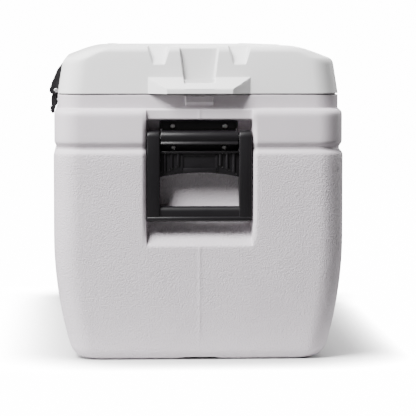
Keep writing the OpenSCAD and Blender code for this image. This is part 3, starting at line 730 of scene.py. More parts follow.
def lid_point(row, column, sx, sy):
    key, z, side_in, end_in = row
    a, b, r = lid_end - end_in, lid_side - side_in, 42 - side_in * 0.24
    kind = column[0]
    if kind == "end":
        _, near_lip, low, high, start, channel, notch = column
        # the crease between the top of the lip and its side facet runs out and up, and these follow it
        y = near_lip
        if 50 < near_lip < 70:
            crease_end = 80.1 if near_lip == lip_between else 79.4 + (near_lip - lip_front) * 0.1
            y += (crease_end - near_lip) * taper(key, 443.5, 460)
        y += (low - y) * taper(key, 464, 482)
        y += (high - y) * taper(key, start, 511)
        x = a
        if key < 466:
            facet = min(1.0, max(0.0, (lip_half - y) / (lip_half - lip_front)))
            lip = min(1.0, facet * 4)
            lip_x, lip_z = along(lip_path, key)
            if key >= 443.0 and channel:
                cut_x, cut_z = along(channel_path, key)
                lip_x += (cut_x - lip_x) * channel
                lip_z += (cut_z - lip_z) * channel
            x += min(lip_x - x, (lid_tip - x) * facet)
            z += (lip_z - z) * lip
        elif channel and key < 516:
            cut_x, cut_z = along(channel_path, key)
            x += (cut_x - x) * channel
            z += (cut_z - z) * channel
        if notch and 480 < key < 516.4:
            cut_x, cut_z = along(notch_path, key)
            x += (cut_x - x) * notch
            z += (cut_z - z) * notch
    elif kind == "beyond":
        x, y = a, lid_last + (b - r - lid_last) * column[1]
    elif kind == "corner":
        t = math.radians(column[1])
        x, y = a - r + r * math.cos(t), b - r + r * math.sin(t)
    else:
        x, y = (a - r) * column[1], b
    return (sx * x, sy * y, z)


rings = [ring_of(lid_columns, lambda c, sx, sy, row=row: lid_point(row, c, sx, sy)) for row in lid_rows]
lid_bm, rows = skin(rings)
lid_bm.faces.new(rows[-1])
bmesh.ops.recalc_face_normals(lid_bm, faces=lid_bm.faces)
lid_obj = object_from("lid", lid_bm)
thicken(lid_obj, 0.0028)


def bead(y, width, rise, length, top):
    """Low rounded rib along the top."""
    rings = []
    for inset, z in ((-1.5, -2.2), (0, -0.2), (1.6, rise * 0.55), (3.6, rise * 0.9), (6.0, rise)):
        a, b = length / 2 - inset, width / 2 - inset
        rings.append([(x, y + v, top + z) for x, v, _ in plain_ring(a, b, b * 0.999, 0, 8, 4, 1)])
    return loft(rings)


extras = [bead(side * 130, 22, 1.2, 820, 513.6) for side in (-1, 1)]
# plate that closes the end of the lid behind the hollow lip
for side in (1, -1):
    x0, x1 = sorted((side * (lid_end - 0.2), side * (lid_end - 2.6)))
    extras.append(box_part((x0, -80, lid_bottom + 0.6), (x1, 80, 458)))
whole = bmesh.new()
whole.from_mesh(lid_obj.data)
gather(whole, extras).to_mesh(lid_obj.data)
whole.free()
soften(lid_obj, 32)
finish_piece(lid_obj, lid_white, "lid", "white_plastic", "lid_shell")

# ---------------------------------------------------------------- the lid's inner panel
# A thinner moulding closes the underside, with a plug that drops into the mouth of the liner.
panel_low, panel_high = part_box("lid_liner")
panel_a, panel_b = panel_high[0] / MM, panel_high[1] / MM
panel_z = liner_top + 0.5
plug_z = panel_low[2] / MM
rings = [
    plain_ring(panel_a, panel_b, 39, panel_z + 2.4),
    plain_ring(panel_a, panel_b, 39, panel_z + 0.7),
    plain_ring(panel_a - 0.7, panel_b - 0.7, 38.3, panel_z),
    plain_ring(bore_a + 3, bore_b + 3, 37, panel_z),
    plain_ring(bore_a + 0.5, bore_b + 0.5, 36, panel_z - 0.4),
    plain_ring(bore_a - 1.2, bore_b - 1.2, 35.5, panel_z - 2.4),
    plain_ring(bore_a - 7.5, bore_b - 7.5, 31, plug_z + 4.5),
    plain_ring(bore_a - 9, bore_b - 9, 30, plug_z + 1.5),
    plain_ring(bore_a - 12.5, bore_b - 12.5, 28, plug_z),
    plain_ring(bore_a - 40, bore_b - 40, 24, plug_z),
    plain_ring(bore_a - 42, bore_b - 42, 23, plug_z + 0.5),
    plain_ring(bore_a - 45, bore_b - 45, 22, plug_z + 3.5),
    plain_ring(bore_a - 48, bore_b - 48, 21, plug_z + 4),
]
panel = piece_from("lid_panel", [loft(rings)])
finish_piece(panel, liner_white, "lid", "liner_plastic", "lid_liner")

# ---------------------------------------------------------------- the handles
# Black glass-filled nylon. The bracket is screwed into the pocket, its round hood covers a steel rod, and the
# handle hangs on the ends of the rod. Both ends of the chest have the same set.
nylon_black = moulded_plastic(
    "nylon_black", (0.0042, 0.0036, 0.0046), (0.0062, 0.0054, 0.0066), 0.38,
    grain=0.0003, grain_size=1500, grain_depth=0.2, shine=0.32,
)


def metal(name, dark, light, gloss, metallic=1.0):
    material, nodes, links, shader = new_material(name)
    tone = tone_between(nodes, links, object_noise(nodes, links, 60, 3), dark, light)
    links.new(tone, shader.inputs["Base Color"])
    rough = node_with(nodes, "ShaderNodeMapRange", {"To Min": gloss - 0.06, "To Max": gloss + 0.08})
    scratch = object_noise(nodes, links, 240, 5)
    links.new(scratch, rough.inputs["Value"])
    links.new(rough.outputs["Result"], shader.inputs["Roughness"])
    bump = node_with(nodes, "ShaderNodeBump", {"Strength": 0.08, "Distance": 0.0004})
    links.new(scratch, bump.inputs["Height"])
    links.new(bump.outputs["Normal"], shader.inputs["Normal"])
    shader.inputs["Metallic"].default_value = metallic
    return material


stainless = metal("stainless", (0.46, 0.46, 0.47), (0.62, 0.62, 0.63), 0.3)
screw_steel = metal("screw_steel", (0.42, 0.41, 0.41), (0.55, 0.54, 0.54), 0.28, 0.85)


def screw_cluster():
    """Geometry node group: one screw on every point, faced along an axis and turned by a seeded angle."""
    tree = bpy.data.node_groups.new("screw_cluster", "GeometryNodeTree")
    face = tree.interface
    face.new_socket("Geometry", in_out="INPUT", socket_type="NodeSocketGeometry")
    for label, kind in (("Screw", "Object"), ("Axis", "Vector"), ("Seed", "Int"), ("Finish", "Material")):
        face.new_socket(label, in_out="INPUT", socket_type="NodeSocket" + kind)
    face.new_socket("Geometry", in_out="OUTPUT", socket_type="NodeSocketGeometry")
    add = tree.nodes.new
    start, end = add("NodeGroupInput"), add("NodeGroupOutput")
    screw, spots = add("GeometryNodeObjectInfo"), add("GeometryNodeInstanceOnPoints")
    turn, aim = add("FunctionNodeRandomValue"), add("FunctionNodeAlignRotationToVector")
    roll, both = add("FunctionNodeAxisAngleToRotation"), add("FunctionNodeRotateRotation")
    real, finish = add("GeometryNodeRealizeInstances"), add("GeometryNodeSetMaterial")
    aim.axis = "Z"
    both.rotation_space = "LOCAL"
    turn.inputs[3].default_value = math.pi / 2
    roll.inputs["Axis"].default_value = (0, 0, 1)
    link = tree.links.new
    link(start.outputs["Geometry"], spots.inputs["Points"])
    link(start.outputs["Screw"], screw.inputs["Object"])
    link(screw.outputs["Geometry"], spots.inputs["Instance"])
    link(start.outputs["Seed"], turn.inputs["Seed"])
    link(turn.outputs[1], roll.inputs["Angle"])
    link(start.outputs["Axis"], aim.inputs["Vector"])
    link(aim.outputs["Rotation"], both.inputs["Rotation"])
    link(roll.outputs["Rotation"], both.inputs["Rotate By"])
    link(both.outputs["Rotation"], spots.inputs["Rotation"])
    link(spots.outputs["Instances"], real.inputs["Geometry"])
    link(real.outputs["Geometry"], finish.inputs["Geometry"])
    link(start.outputs["Finish"], finish.inputs["Material"])
    link(finish.outputs["Geometry"], end.inputs["Geometry"])
    return tree


screw_tree = screw_cluster()


def screw_master(name, head, height, shank, length):
    """Pan head screw standing on z = 0, with a cross recess."""
    bm = lathe([
        (0, height), (head * 0.42, height * 0.97), (head * 0.72, height * 0.8), (head * 0.93, height * 0.48),
        (head, height * 0.15), (head * 0.98, 0), (shank, 0), (shank, -length * 0.9), (shank * 0.5, -length),
        (0, -length),
    ], (0, 0, 0), (0, 0, 1), 32)
    screw = object_from(name, bm)
    arm, wide = head * 0.55, head * 0.17
    cross = object_from("cross", prism([
        (-wide, -arm), (wide, -arm), (wide, -wide), (arm, -wide), (arm, wide), (wide, wide),
        (wide, arm), (-wide, arm), (-wide, wide), (-arm, wide), (-arm, -wide), (-wide, -wide),
    ], "z", height * 0.35, height * 1.5))
    subtract(screw, [cross])
    soften(screw, 30)
    screw.hide_render = screw.hide_viewport = True
    return screw


def drawn(node, parts, material, body, slot):
    """One piece made of closed solids, in place of the node of that name."""
    finish_piece(piece_from(f"{node}_drawn", parts), material, body, slot, node)


def moved(parts, matrix):
    for part in parts:
        part.transform(matrix)
    return parts


def screws(node, master, places, axis, seed, material, body):
    mesh = bpy.data.meshes.new(f"{node}_drawn")
    mesh.from_pydata([Vector(p) * MM for p in places], [], [])
    obj = linked(f"{node}_drawn", mesh)
    change = obj.modifiers.new("screws", "NODES")
    change.node_group = screw_tree
    values = {"Screw": master, "Axis": axis, "Seed": seed, "Finish": material}
    for item in screw_tree.interface.items_tree:
        if item.in_out == "INPUT" and item.name in values:
            change[item.identifier] = values[item.name]
    baked(obj)
    finish_piece(obj, material, body, "steel", node)


handle_screw = screw_master("handle_screw", 4.0, 1.8, 2.0, 10)
rod_low, rod_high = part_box("handle_rod_near")
pivot_x = (rod_low[0] + rod_high[0]) / 2 / MM
pivot_z = (rod_low[2] + rod_high[2]) / 2 / MM
plate_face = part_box("handle_bracket_near")[0][0] / MM + 5
bail_low, bail_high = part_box("handle_bail_near")
bail_in, bail_out = bail_low[0] / MM, bail_high[0] / MM
bail_bottom = bail_low[2] / MM
arm_in, arm_out = 64.5, bail_high[1] / MM
web_low, web_top, web_back, web_front = 306.0, 341.6, 522.6, 527.0
plate_screws = ((-43, 381.4), (43, 381.4), (-42, 346.8), (42, 346.8))


def arc(x, z, radius, turns, flip=1):
    """Points (x, z) round a centre, at the given angles in degrees."""
    angles = [math.radians(a) for a in turns]
    return [(x + flip * radius * math.cos(a), z + radius * math.sin(a)) for a in angles]


def bracket_parts():
    hood = [
        (plate_face - 2, pivot_z + 11), *arc(pivot_x, pivot_z, 10.2, range(98, -46, -8)),
        (pivot_x + 9.0, pivot_z - 9.0), (pivot_x + 10.6, pivot_z - 10.2),
        (pivot_x + 10.4, pivot_z - 12.2), (plate_face - 2, pivot_z - 12.6),
    ]
    parts = [
        box_part((plate_face - 5, -64, 340.6), (plate_face, 64, 390.2), 1.2),
        prism(hood, "y", -63.4, 63.4, 0.9, 3, 32),
        # thin rims round the screw flange, and a fillet strip under the hood
        box_part((plate_face - 1, -64, 387.8), (plate_face + 2.4, 64, 390.3), 0.8),
        box_part((plate_face - 1, -56, 350.0), (plate_face + 3.0, 56, 352.8), 1.0),
    ]
    for side in (-1, 1):
        y0, y1 = sorted((side * 61.8, side * 64))
        parts.append(box_part((plate_face - 1, y0, 376), (plate_face + 2.2, y1, 390.3), 0.8))
        # ears that hold the rod
        y0, y1 = sorted((side * 59.5, side * 63.4))
        parts.append(box_part((plate_face - 1, y0, 355), (pivot_x + 2, y1, 378), 1.2))
    seat = [(4.4, -0.5), (4.9, 0.5), (5.7, 0.5), (6.1, 0.1), (6.1, -0.5)]
    parts += [lathe(seat, (plate_face, y, z), (1, 0, 0), 32) for y, z in plate_screws]
    return parts


def bail_parts():
    parts = []
    for side in (-1, 1):
        # an arm is a flat bar with a round top where the rod goes through
        outline = [
            (bail_in, bail_bottom + 9), (bail_in, pivot_z),
            *arc(pivot_x, pivot_z, 10.4, range(12, 180, 12), -1),
            (bail_out, pivot_z), (bail_out, bail_bottom + 9),
            (bail_out - 2, bail_bottom + 2.5), (bail_in + 2, bail_bottom + 2.5),
        ]
        y0, y1 = sorted((side * arm_in, side * arm_out))
        parts.append(prism(outline, "y", y0, y1, 2.0, 4, 32))
    # web between the arms, with an arched lower edge and a recess for a badge
    arch = [(66 * t, web_low + 0.6 - 7.4 * t**2) for t in (i / 10 - 1 for i in range(21))]
    parts.append(prism([(-66, web_top), *arch, (66, web_top)], "x", web_back, web_front - 1.6, 0.5, 2, 32))
    # front layer of the web, built as a frame round the recess
    parts.append(box_part((web_back, -66, 337.8), (web_front + 3.2, 66, web_top), 1.2))
    lower = [(y, z) for y, z in arch if abs(y) < 30]
    parts.append(prism([(-29.5, 313.8), *lower, (29.5, 313.8)], "x", web_back + 1, web_front, 0.6, 2, 32))
    parts.append(box_part((web_back + 1, -29.5, 333.8), (web_front, 29.5, 338.5), 0.6))
    for side in (-1, 1):
        y0, y1 = sorted((side * 26.4, side * 30.2))
        parts.append(box_part((web_back + 1, y0, 309), (web_front, y1, 338.5), 0.6))
        for y, foot in ((34.4, 315.6), (45.4, 310.6), (56.4, 304.4)):
            # half-round ribs with rounded feet, and the ejector pips beside them
            rib = [(0, foot + 1.0), (1.9, foot + 1.6), (2.8, foot + 3.4), (3.0, foot + 5)]
            rib += [(3.0, 338.5), (0, 338.5)]
            pip = [(0, 1.5), (0.55, 1.35), (1.0, 0.9), (1.2, 0), (1.2, -1.4), (0, -1.4)]
            parts.append(lathe(rib, (web_front - 1.6, side * y, 0), (0, 0, 1), 24))
            parts.append(lathe(pip, (web_front - 1.0, side * (y + 3.3), foot - 0.4), (1, 0, 0), 20))
    # grip: a round bar standing on a full-width lip
    grip = [*arc(pivot_x, 243.4, 8.6, range(0, 181, 10)), (pivot_x - 8.6, 230), (pivot_x + 8.6, 230)]
    parts.append(prism(grip, "y", -66, 66))
    lip = [
        (bail_in - 0.2, bail_bottom + 1.6), (bail_in + 1.6, bail_bottom), (bail_out - 1.8, bail_bottom),
        (bail_out + 0.6, bail_bottom + 2.2), (bail_out + 0.6, bail_bottom + 6.4),
        (bail_out - 1.0, bail_bottom + 8.4), (bail_in + 1.0, bail_bottom + 8.4),
        (bail_in - 0.2, bail_bottom + 6.6),
    ]
    parts.append(prism(lip, "y", -arm_out, arm_out, 1.5, 3, 32))
    return parts


rod_profile = [(0, -82.5), (3.2, -82.5), (4, -81.7), (4, 81.7), (3.2, 82.5), (0, 82.5)]
for end, flip in (("near", 1), ("far", -1)):
    about = Matrix.Rotation(math.radians(0 if end == "near" else 180), 4, "Z")
    drawn(f"handle_bracket_{end}", moved(bracket_parts(), about), nylon_black, "tub", "black_plastic")
    bail = piece_from(f"handle_{end}_drawn", moved(bail_parts(), about))
    finish_piece(bail, nylon_black, f"handle_{end}", "black_plastic", f"handle_bail_{end}")
    rod = lathe(rod_profile, (pivot_x, 0, pivot_z), (0, 1, 0), 32)
    drawn(f"handle_rod_{end}", moved([rod], about), stainless, "tub", "steel")
    places = [(flip * plate_face, y, z) for y, z in plate_screws]
    screws(f"handle_screws_{end}", handle_screw, places, (flip, 0, 0), 3 + flip, screw_steel, "tub")

# ---------------------------------------------------------------- the latches
# Two black nylon latches on the front. The mount is screwed to the side of the lid, a steel pin runs through
# its cheeks, and the strap on the pin snaps under a keeper screwed to the rim.
def lid_wall(z):
    """The sloped side of the lid."""
    return lid_side - 5 * (z - lid_bottom) / 45


def shifted(parts, x):
    return moved(parts, Matrix.Translation(Vector((x, 0, 0)) * MM))


def mount_parts():
    cheek = [
        (-lid_wall(478), 478), (-229, 477), (-233.5, 470.5), (-246.2, 439), (-246.6, 433.5),
        (-243.2, 429.6), (-236, 429), (-232.2, 432), (-231.0, 437), (-lid_wall(440), 440),
    ]
    cover = [
        (-lid_wall(477), 477), (-228.8, 476), (-233.0, 470), (-243.6, 447.5), (-240.8, 446.6), (-231.6, 466),
        (-lid_wall(448), 467.5),
    ]
    parts = [prism(cheek, "x", *sorted((side * 22.6, side * 29.8)), 1.1, 3, 28) for side in (-1, 1)]
    parts.append(prism(cover, "x", -24, 24, 0.9, 3, 28))
    # screw plate, following the slope of the lid
    plate = [(-lid_wall(z) - out, z) for z, out in ((448, 0), (448, 2.4), (476, 2.4), (476, 0))]
    parts.append(prism(plate, "x", -29, 29, 0.5, 2, 28))
    return parts


def strap_parts():
    blade = [
        (-232.7, 433), (-232.7, 412.6), (-235.2, 408.6), (-236.8, 404), (-238.4, 397), (-241.2, 395.6),
        (-243.6, 398.2), (-244.6, 405), (-243.2, 411), (-243.8, 419), (-242.6, 427.5), (-239.4, 434),
    ]
    parts = [prism(blade, "x", -20.8, 20.8, 0.9, 3, 30)]
    barrel = [(0, -20.8), (4.0, -20.8), (4.6, -20.2), (4.6, 20.2), (4.0, 20.8), (0, 20.8)]
    parts.append(lathe(barrel, (0, latch_y, latch_z), (1, 0, 0), 40))
    for z in (400.5, 403.6, 406.7):
        parts.append(box_part((-16, -245.4, z - 0.7), (16, -243.2, z + 0.7), 0.5))
    return parts


latch_screw = screw_master("latch_screw", 3.0, 1.5, 1.5, 6)
pin_low, pin_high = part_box("latch_pin_right")
latch_y, latch_z = (pin_low[1] + pin_high[1]) / 2 / MM, (pin_low[2] + pin_high[2]) / 2 / MM
latch_x = (pin_low[0] + pin_high[0]) / 2 / MM
# the pin has a turned head that shows on the outside of each cheek
latch_pin = [
    (0, -31.4), (2.6, -31.4), (3.3, -30.8), (3.3, -29.6), (2.0, -29.4),
    (2.0, 29.4), (3.3, 29.6), (3.3, 30.8), (2.6, 31.4), (0, 31.4),
]
for name, x in (("left", -latch_x), ("right", latch_x)):
    drawn(f"latch_mount_{name}", shifted(mount_parts(), x), nylon_black, "lid", "black_plastic")
    drawn(f"latch_strap_{name}", shifted(strap_parts(), x), nylon_black, f"strap_{name}", "black_plastic")
    pin = lathe(latch_pin, (0, latch_y, latch_z), (1, 0, 0), 32)
    drawn(f"latch_pin_{name}", shifted([pin], x), stainless, "lid", "steel")

rim_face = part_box("latch_keepers")[1][1] / MM - 2
keeper = [(rim_face, 413.4), (rim_face - 2, 413.4), (rim_face - 2, 427.6), (rim_face, 427.6)]
parts = []
for x in (-latch_x, latch_x):
    ridge = box_part((-21, rim_face - 2.6, 414.2), (21, rim_face - 1, 417.4), 0.7)
    parts += shifted([prism(keeper, "x", -32, 32, 0.6, 3), ridge], x)
drawn("latch_keepers", parts, nylon_black, "tub", "black_plastic")
places = [(x + dx, rim_face - 2, 420) for x in (-latch_x, latch_x) for dx in (-26, 26)]
screws("latch_keeper_screws", latch_screw, places, (0, -1, 0), 11, stainless, "tub")
places = [(x + dx, -lid_wall(458) - 2.3, 458) for x in (-latch_x, latch_x) for dx in (-17, 17)]
screws("latch_lid_screws", latch_screw, places, (0, -1, -0.11), 12, stainless, "lid")

# ---------------------------------------------------------------- the hinges
# Three stainless butt hinges along the back. Each leaf is pressed sheet, rolled into knuckles round a pin and
# held by pan head screws.
def rounded_rectangle(u0, u1, v0, v1, r, steps=5):
    outline = []
    corners = ((u1 - r, v1 - r), (u0 + r, v1 - r), (u0 + r, v0 + r), (u1 - r, v0 + r))
    for number, (u, v) in enumerate(corners):
        outline += arc(u, v, r, [90 * (number + i / steps) for i in range(steps + 1)])
    return outline


hinge_low, hinge_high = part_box("hinge_pins")
hinge_y, hinge_z = (hinge_low[1] + hinge_high[1]) / 2 / MM, (hinge_low[2] + hinge_high[2]) / 2 / MM
hinge_xs = (-360, 0, 360)


def knuckle(x0, x1):
    profile = [(2.0, x0), (3.7, x0), (4.1, x0 + 0.4), (4.1, x1 - 0.4), (3.7, x1), (2.0, x1)]
    return lathe(profile, (0, hinge_y, hinge_z), (1, 0, 0), 40)


def lid_leaf_parts():
    leaf = prism(rounded_rectangle(-30, 30, 441, 486, 4), "y", lid_side + 0.05, lid_side + 2.1, 0.45, 2)
    for v in leaf.verts:
        v.co.y -= (v.co.z - lid_bottom * MM) / 9
    neck = [(lid_side - 0.6, 441.5), (lid_side + 1.4, 441.5), (hinge_y - 0.5, 438.0), (hinge_y - 2.6, 437.0)]
    return [leaf, prism(neck, "x", -9.6, 9.6, 0.3, 2), knuckle(-9.8, 9.8)]


def body_leaf_parts():
    leaf = prism(rounded_rectangle(-30, 30, 412.6, 429, 3), "y", lid_side + 0.05, lid_side + 2.1, 0.45, 2)
    neck = [(lid_side + 0.1, 427.5), (lid_side + 2.1, 427.5), (hinge_y + 0.4, 430.2), (hinge_y - 1.6, 431)]
    parts = [leaf]
    for x0, x1 in ((-29.6, -10.4), (10.4, 29.6)):
        parts += [prism(neck, "x", x0, x1, 0.3, 2), knuckle(x0, x1)]
    return parts


hinge_screw = screw_master("hinge_screw", 3.2, 1.4, 1.6, 6)
hinge_pin = [
    (0, -31.6), (1.8, -31.6), (2.5, -31.2), (2.5, -30.2), (1.6, -30),
    (1.6, 30), (2.5, 30.2), (2.5, 31.2), (1.8, 31.6), (0, 31.6),
]
lid_leaves, body_leaves, pins = [], [], []
for x in hinge_xs:
    lid_leaves += shifted(lid_leaf_parts(), x)
    body_leaves += shifted(body_leaf_parts(), x)
    pins += shifted([lathe(hinge_pin, (0, hinge_y, hinge_z), (1, 0, 0), 24)], x)
drawn("hinge_lid_leaves", lid_leaves, stainless, "lid", "steel")
drawn("hinge_body_leaves", body_leaves, stainless, "tub", "steel")
drawn("hinge_pins", pins, stainless, "tub", "steel")
places = [(x + dx, lid_wall(z) + 2.1, z) for x in hinge_xs for dx in (-19, 19) for z in (459.7, 478)]
screws("hinge_lid_screws", hinge_screw, places, (0, 1, 0.11), 21, stainless, "lid")
places = [(x + dx, lid_side + 2.1, 420) for x in hinge_xs for dx in (-19, 19)]
screws("hinge_body_screws", hinge_screw, places, (0, 1, 0), 22, stainless, "tub")

# ---------------------------------------------------------------- the wheels
# Moulded grey rims with rubber tyres turn on a plain steel axle through the tub. Push-on caps hold the wheels
# and a black hub cap covers each end.
wheel_grey = moulded_plastic(
    "wheel_grey", (0.10, 0.10, 0.105), (0.13, 0.13, 0.135), 0.42,
    grain=0.0003, grain_size=1200, grain_depth=0.2,
)
tyre_rubber = moulded_plastic(
    "tyre_rubber", (0.012, 0.012, 0.012), (0.022, 0.021, 0.021), 0.72,
    grain=0.0005, grain_size=900, grain_depth=0.4,
)
tyre_low, tyre_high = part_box("tyre_back")
wheel_r = (tyre_high[2] - tyre_low[2]) / 2 / MM
wheel_in, wheel_out = tyre_low[1] / MM, tyre_high[1] / MM
rim_r = wheel_r - 7
axle_centre = (axle_x, 0, axle_z)


def spun(part, centre, axis, count):
    """Copies of a part set evenly round an axis."""
    copies = []
    for i in range(count):
        copy = part.copy()
        at = Matrix.Translation(Vector(centre) * MM)
        copy.transform(at @ Matrix.Rotation(2 * math.pi * i / count, 4, axis) @ at.inverted())
        copies.append(copy)
    part.free()
    return copies


def tyre_parts():
    shoulder = [(rim_r + 0.1, 0.6), (wheel_r - 3, 0), (wheel_r - 0.8, 1.6), (wheel_r, 4.5)]
    tread = [(r, wheel_in + y) for r, y in shoulder]
    for groove in (wheel_in + 14, wheel_in + 22, wheel_in + 30):
        tread += [(wheel_r - deep, groove + y) for deep, y in ((0, -1.3), (1.8, -0.8), (1.8, 0.8), (0, 1.3))]
    tread += [(r, wheel_out - y) for r, y in shoulder[::-1]]
    return [lathe(tread, axle_centre, (0, 1, 0), 96)]


def rim_parts():
    hoop = [
        (rim_r - 6, wheel_in + 3), (rim_r - 4.4, wheel_in + 0.8), (rim_r, wheel_in + 0.4),
        (rim_r, wheel_out - 0.4), (rim_r - 3.4, wheel_out - 0.2), (rim_r - 4.6, wheel_out - 2),
        (rim_r - 6, wheel_out - 8),
    ]
    hub = [
        (6.2, wheel_in + 0.2), (15.6, wheel_in + 0.2), (17, wheel_in + 1.6),
        (17, wheel_out - 7), (15.8, wheel_out - 6), (6.2, wheel_out - 6),
    ]
    disc = [(r, wheel_in + y) for r, y in ((16, 18), (rim_r - 5.6, 16), (rim_r - 5.6, 19), (16, 21))]
    turned = ((hoop, 96), (hub, 64), (disc, 96))
    parts = [lathe(profile, axle_centre, (0, 1, 0), steps) for profile, steps in turned]
    low, high = (axle_x + 15, wheel_in + 17, axle_z - 4), (axle_x + rim_r - 5, wheel_out - 8, axle_z + 4)
    return parts + spun(box_part(low, high, 1.6), axle_centre, "Y", 8)


def hub_cap_parts():
    inner = [(0, 14), (9, 13.9), (15, 12.8), (18.6, 10), (20, 6), (20.2, -5.2)]
    outer = [
        (21.6, -5.2), (22, -4.6), (22, 8), (21, 11.6), (18.4, 14), (14, 15.4), (12.4, 14.8), (10.8, 15.6),
        (0, 16),
    ]
    return [lathe([(r, wheel_out + y) for r, y in inner + outer], axle_centre, (0, 1, 0), 64)]


def on_side(parts, side):
    """Wheel parts are drawn at the back. For the front they are turned about the upright through the axle."""
    if side > 0:
        return parts
    at = Matrix.Translation(Vector(axle_centre) * MM)
    return moved(parts, at @ Matrix.Rotation(math.pi, 4, "Z") @ at.inverted())


washer = [(6.2, 179.1), (13.4, 179.1), (14, 179.7), (14, 182.4), (13.4, 183), (6.2, 183)]
push_cap = [
    (6.1, 228.7), (9.4, 228.7), (10, 229.3), (10, 230.4), (8.2, 231), (7.4, 233), (6.6, 234), (6.1, 234),
]
washers, caps = [], []
for name, side in (("front", -1), ("back", 1)):
    wheel = f"wheel_{name}"
    drawn(f"tyre_{name}", on_side(tyre_parts(), side), tyre_rubber, wheel, "tyre_rubber")
    drawn(f"wheel_rim_{name}", on_side(rim_parts(), side), wheel_grey, wheel, "wheel_plastic")
    drawn(f"hub_cap_{name}", on_side(hub_cap_parts(), side), nylon_black, wheel, "black_plastic")
    washers += on_side([lathe(washer, axle_centre, (0, 1, 0), 48)], side)
    caps += on_side([lathe(push_cap, axle_centre, (0, 1, 0), 40)], side)
drawn("axle_washers", washers, stainless, "tub", "steel")
drawn("axle_caps", caps, stainless, "tub", "steel")
axle = lathe([(0, -232), (5, -232), (6, -231), (6, 231), (5, 232), (0, 232)], axle_centre, (0, 1, 0), 40)
drawn("axle", [axle], stainless, "tub", "steel")

# ---------------------------------------------------------------- the drain
# A white threaded spout through the back wall, sealed by a rubber washer and held by a nut inside, with a
# ribbed screw cap.
spout_in, spout_out = spout_low[1] / MM, spout_high[1] / MM
drain_centre = (drain_x, 0, drain_z)
cap_low, cap_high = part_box("drain_cap")
cap_in, cap_out = cap_low[1] / MM, cap_high[1] / MM
thread = [
    (9, spout_in), (11.6, spout_in), (12, spout_in + 0.4), (12, 204.2), (17.4, 204.2), (18, 204.8),
    (18, 206.1), (17.4, 206.7), (11.4, 206.7),
]
for ridge in (208.4, 210.6, 212.8):
    thread += [(11.2, ridge - 0.7), (12, ridge), (11.2, ridge + 0.7)]
thread += [(11.2, spout_out - 0.6), (10.6, spout_out), (9, spout_out)]
drawn("drain_spout", [lathe(thread, drain_centre, (0, 1, 0), 56)], lid_white, "tub", "white_plastic")
seal_black = moulded_plastic(
    "seal_black", (0.014, 0.014, 0.014), (0.022, 0.022, 0.022), 0.68,
    grain=0.0003, grain_size=1400, grain_depth=0.3,
)
seal = [(12.2, 203.1), (17, 203.1), (17.6, 203.6), (17, 204.1), (12.2, 204.1)]
drawn("drain_washer", [lathe(seal, drain_centre, (0, 1, 0), 48)], seal_black, "tub", "seal_rubber")
nut = [(13.2, 165.6), (14.1, 165.6), (14.5, 166.1), (14.5, 169.4), (14.1, 169.9), (13.2, 169.9)]
drawn("drain_nut", [lathe(nut, drain_centre, (0, 1, 0), 8)], lid_white, "tub", "white_plastic")
cap = [
    (0, cap_out - 2.2), (12.6, cap_out - 2.2), (12.6, cap_in), (15, cap_in), (15.5, cap_in + 0.6),
    (15.5, cap_out - 2), (14.4, cap_out - 0.6), (12.6, cap_out), (11.4, cap_out - 0.7), (0, cap_out - 0.7),
]
low, high = (drain_x + 14.6, cap_in + 1, drain_z - 1.3), (drain_x + 16.6, cap_out - 1.6, drain_z + 1.3)
parts = [lathe(cap, drain_centre, (0, 1, 0), 60), *spun(box_part(low, high, 0.6), drain_centre, "Y", 12)]
drawn("drain_cap", parts, lid_white, "drain_plug", "white_plastic")

# ---------------------------------------------------------------- camera, light and floor
# A long lens looks at the end of the chest from just above the height of the lid. A large soft light stands
# high on the left, and the floor and the studio wall are white.
camera_data = bpy.data.cameras.new("camera")
camera = linked("camera", camera_data)
face_x = half_length * MM
camera.location = (face_x + 4.0, -0.19, 0.527)
aim = Vector((face_x, 0.0133, 0.2497)) - camera.location
camera.rotation_euler = aim.to_track_quat("-Z", "Y").to_euler()
camera_data.lens = 213.8
camera_data.sensor_width = 36
camera_data.clip_end = 60
bpy.context.scene.camera = camera


def soft_light(name, place, target, size, power):
    """A square area light, aimed at the target."""
    light = bpy.data.lights.new(name, "AREA")
    light.size = size
    light.energy = power
    lamp = linked(name, light)
    lamp.location = place
    lamp.rotation_euler = (Vector(target) - Vector(place)).to_track_quat("-Z", "Y").to_euler()


soft_light("key_light", (2.0, -1.75, 3.1), (face_x, 0, 0.3), 1.7, 500)
soft_light("side_light", (0.9, -3.0, 1.2), (0.3, 0, 0.25), 1.6, 95)
soft_light("top_light", (-0.3, -0.3, 3.0), (-0.1, 0, 0.3), 2.2, 90)
soft_light("back_light", (-4.2, 0.8, 2.0), (-face_x, 0, 0.3), 1.6, 110)
soft_light("far_side_light", (-1.6, 3.4, 1.5), (-0.2, 0, 0.25), 1.6, 100)

# the studio wall is pure white to the camera, but gives only a little light
world = bpy.data.worlds.new("studio")
world.use_nodes = True
nodes, links = world.node_tree.nodes, world.node_tree.links
pure_white, ambient, in_mirrors = 15, 0.02, 0.3
ray = nodes.new("ShaderNodeLightPath")
seen = node_with(nodes, "ShaderNodeMath", {1: pure_white, 2: ambient})
mirrored_too = node_with(nodes, "ShaderNodeMath", {1: in_mirrors})
seen.operation = mirrored_too.operation = "MULTIPLY_ADD"
nodes["Background"].inputs["Color"].default_value = (1, 1, 1, 1)
links.new(ray.outputs["Is Camera Ray"], seen.inputs[0])
links.new(ray.outputs["Is Glossy Ray"], mirrored_too.inputs[0])
links.new(seen.outputs[0], mirrored_too.inputs[2])
links.new(mirrored_too.outputs[0], nodes["Background"].inputs["Strength"])
bpy.context.scene.world = world

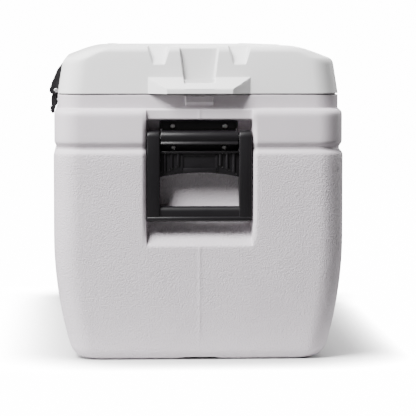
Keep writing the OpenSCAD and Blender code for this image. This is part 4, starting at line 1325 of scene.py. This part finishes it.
floor_bm = bmesh.new()
bmesh.ops.create_grid(floor_bm, x_segments=2, y_segments=2, size=14)
floor = object_from("floor", floor_bm)
floor_material, nodes, links, shader = new_material("floor_white")
# bright close round the chest, where the light is thrown back up at its lower edge, and greyer farther out
place, size = nodes.new("ShaderNodeTexCoord"), nodes.new("ShaderNodeVectorMath")
reach = node_with(nodes, "ShaderNodeVectorMath", {1: (half_length * MM, half_width * MM, 0)})
sides, gap = nodes.new("ShaderNodeSeparateXYZ"), nodes.new("ShaderNodeMath")
size.operation, reach.operation, gap.operation = "ABSOLUTE", "SUBTRACT", "MAXIMUM"
links.new(place.outputs["Object"], size.inputs[0])
links.new(size.outputs[0], reach.inputs[0])
links.new(reach.outputs[0], sides.inputs[0])
links.new(sides.outputs["X"], gap.inputs[0])
links.new(sides.outputs["Y"], gap.inputs[1])
near, far = (0.05, (0.62, 0.62, 0.62)), (0.16, (0.07, 0.07, 0.07))
links.new(ramp_between(nodes, links, gap.outputs[0], near, far), shader.inputs["Base Color"])
shader.inputs["Roughness"].default_value = 0.7
shader.inputs["Emission Color"].default_value = (1, 1, 1, 1)
# the floor glows white to the camera, and a painted contact shadow darkens that glow where something stands
# close to it
painted_contact_shadow = node_with(nodes, "ShaderNodeAmbientOcclusion", {"Distance": 0.14})
ray = nodes.new("ShaderNodeLightPath")
# leaning a little towards the key light, it finds the chest more on the side away from that light, so the
# painted shadow falls more on that side
lean = node_with(nodes, "ShaderNodeCombineXYZ", {"Y": -0.3, "Z": 0.95})
links.new(lean.outputs[0], painted_contact_shadow.inputs["Normal"])
painted_shadow_depth, seen = node_with(nodes, "ShaderNodeMath", {1: 7}), nodes.new("ShaderNodeMath")
glow = node_with(nodes, "ShaderNodeMath", {1: pure_white})
painted_shadow_depth.operation, seen.operation, glow.operation = "POWER", "MULTIPLY", "MULTIPLY"
links.new(painted_contact_shadow.outputs["AO"], painted_shadow_depth.inputs[0])
links.new(painted_shadow_depth.outputs[0], seen.inputs[0])
links.new(ray.outputs["Is Camera Ray"], seen.inputs[1])
links.new(seen.outputs[0], glow.inputs[0])
links.new(glow.outputs[0], shader.inputs["Emission Strength"])
floor.data.materials.append(floor_material)
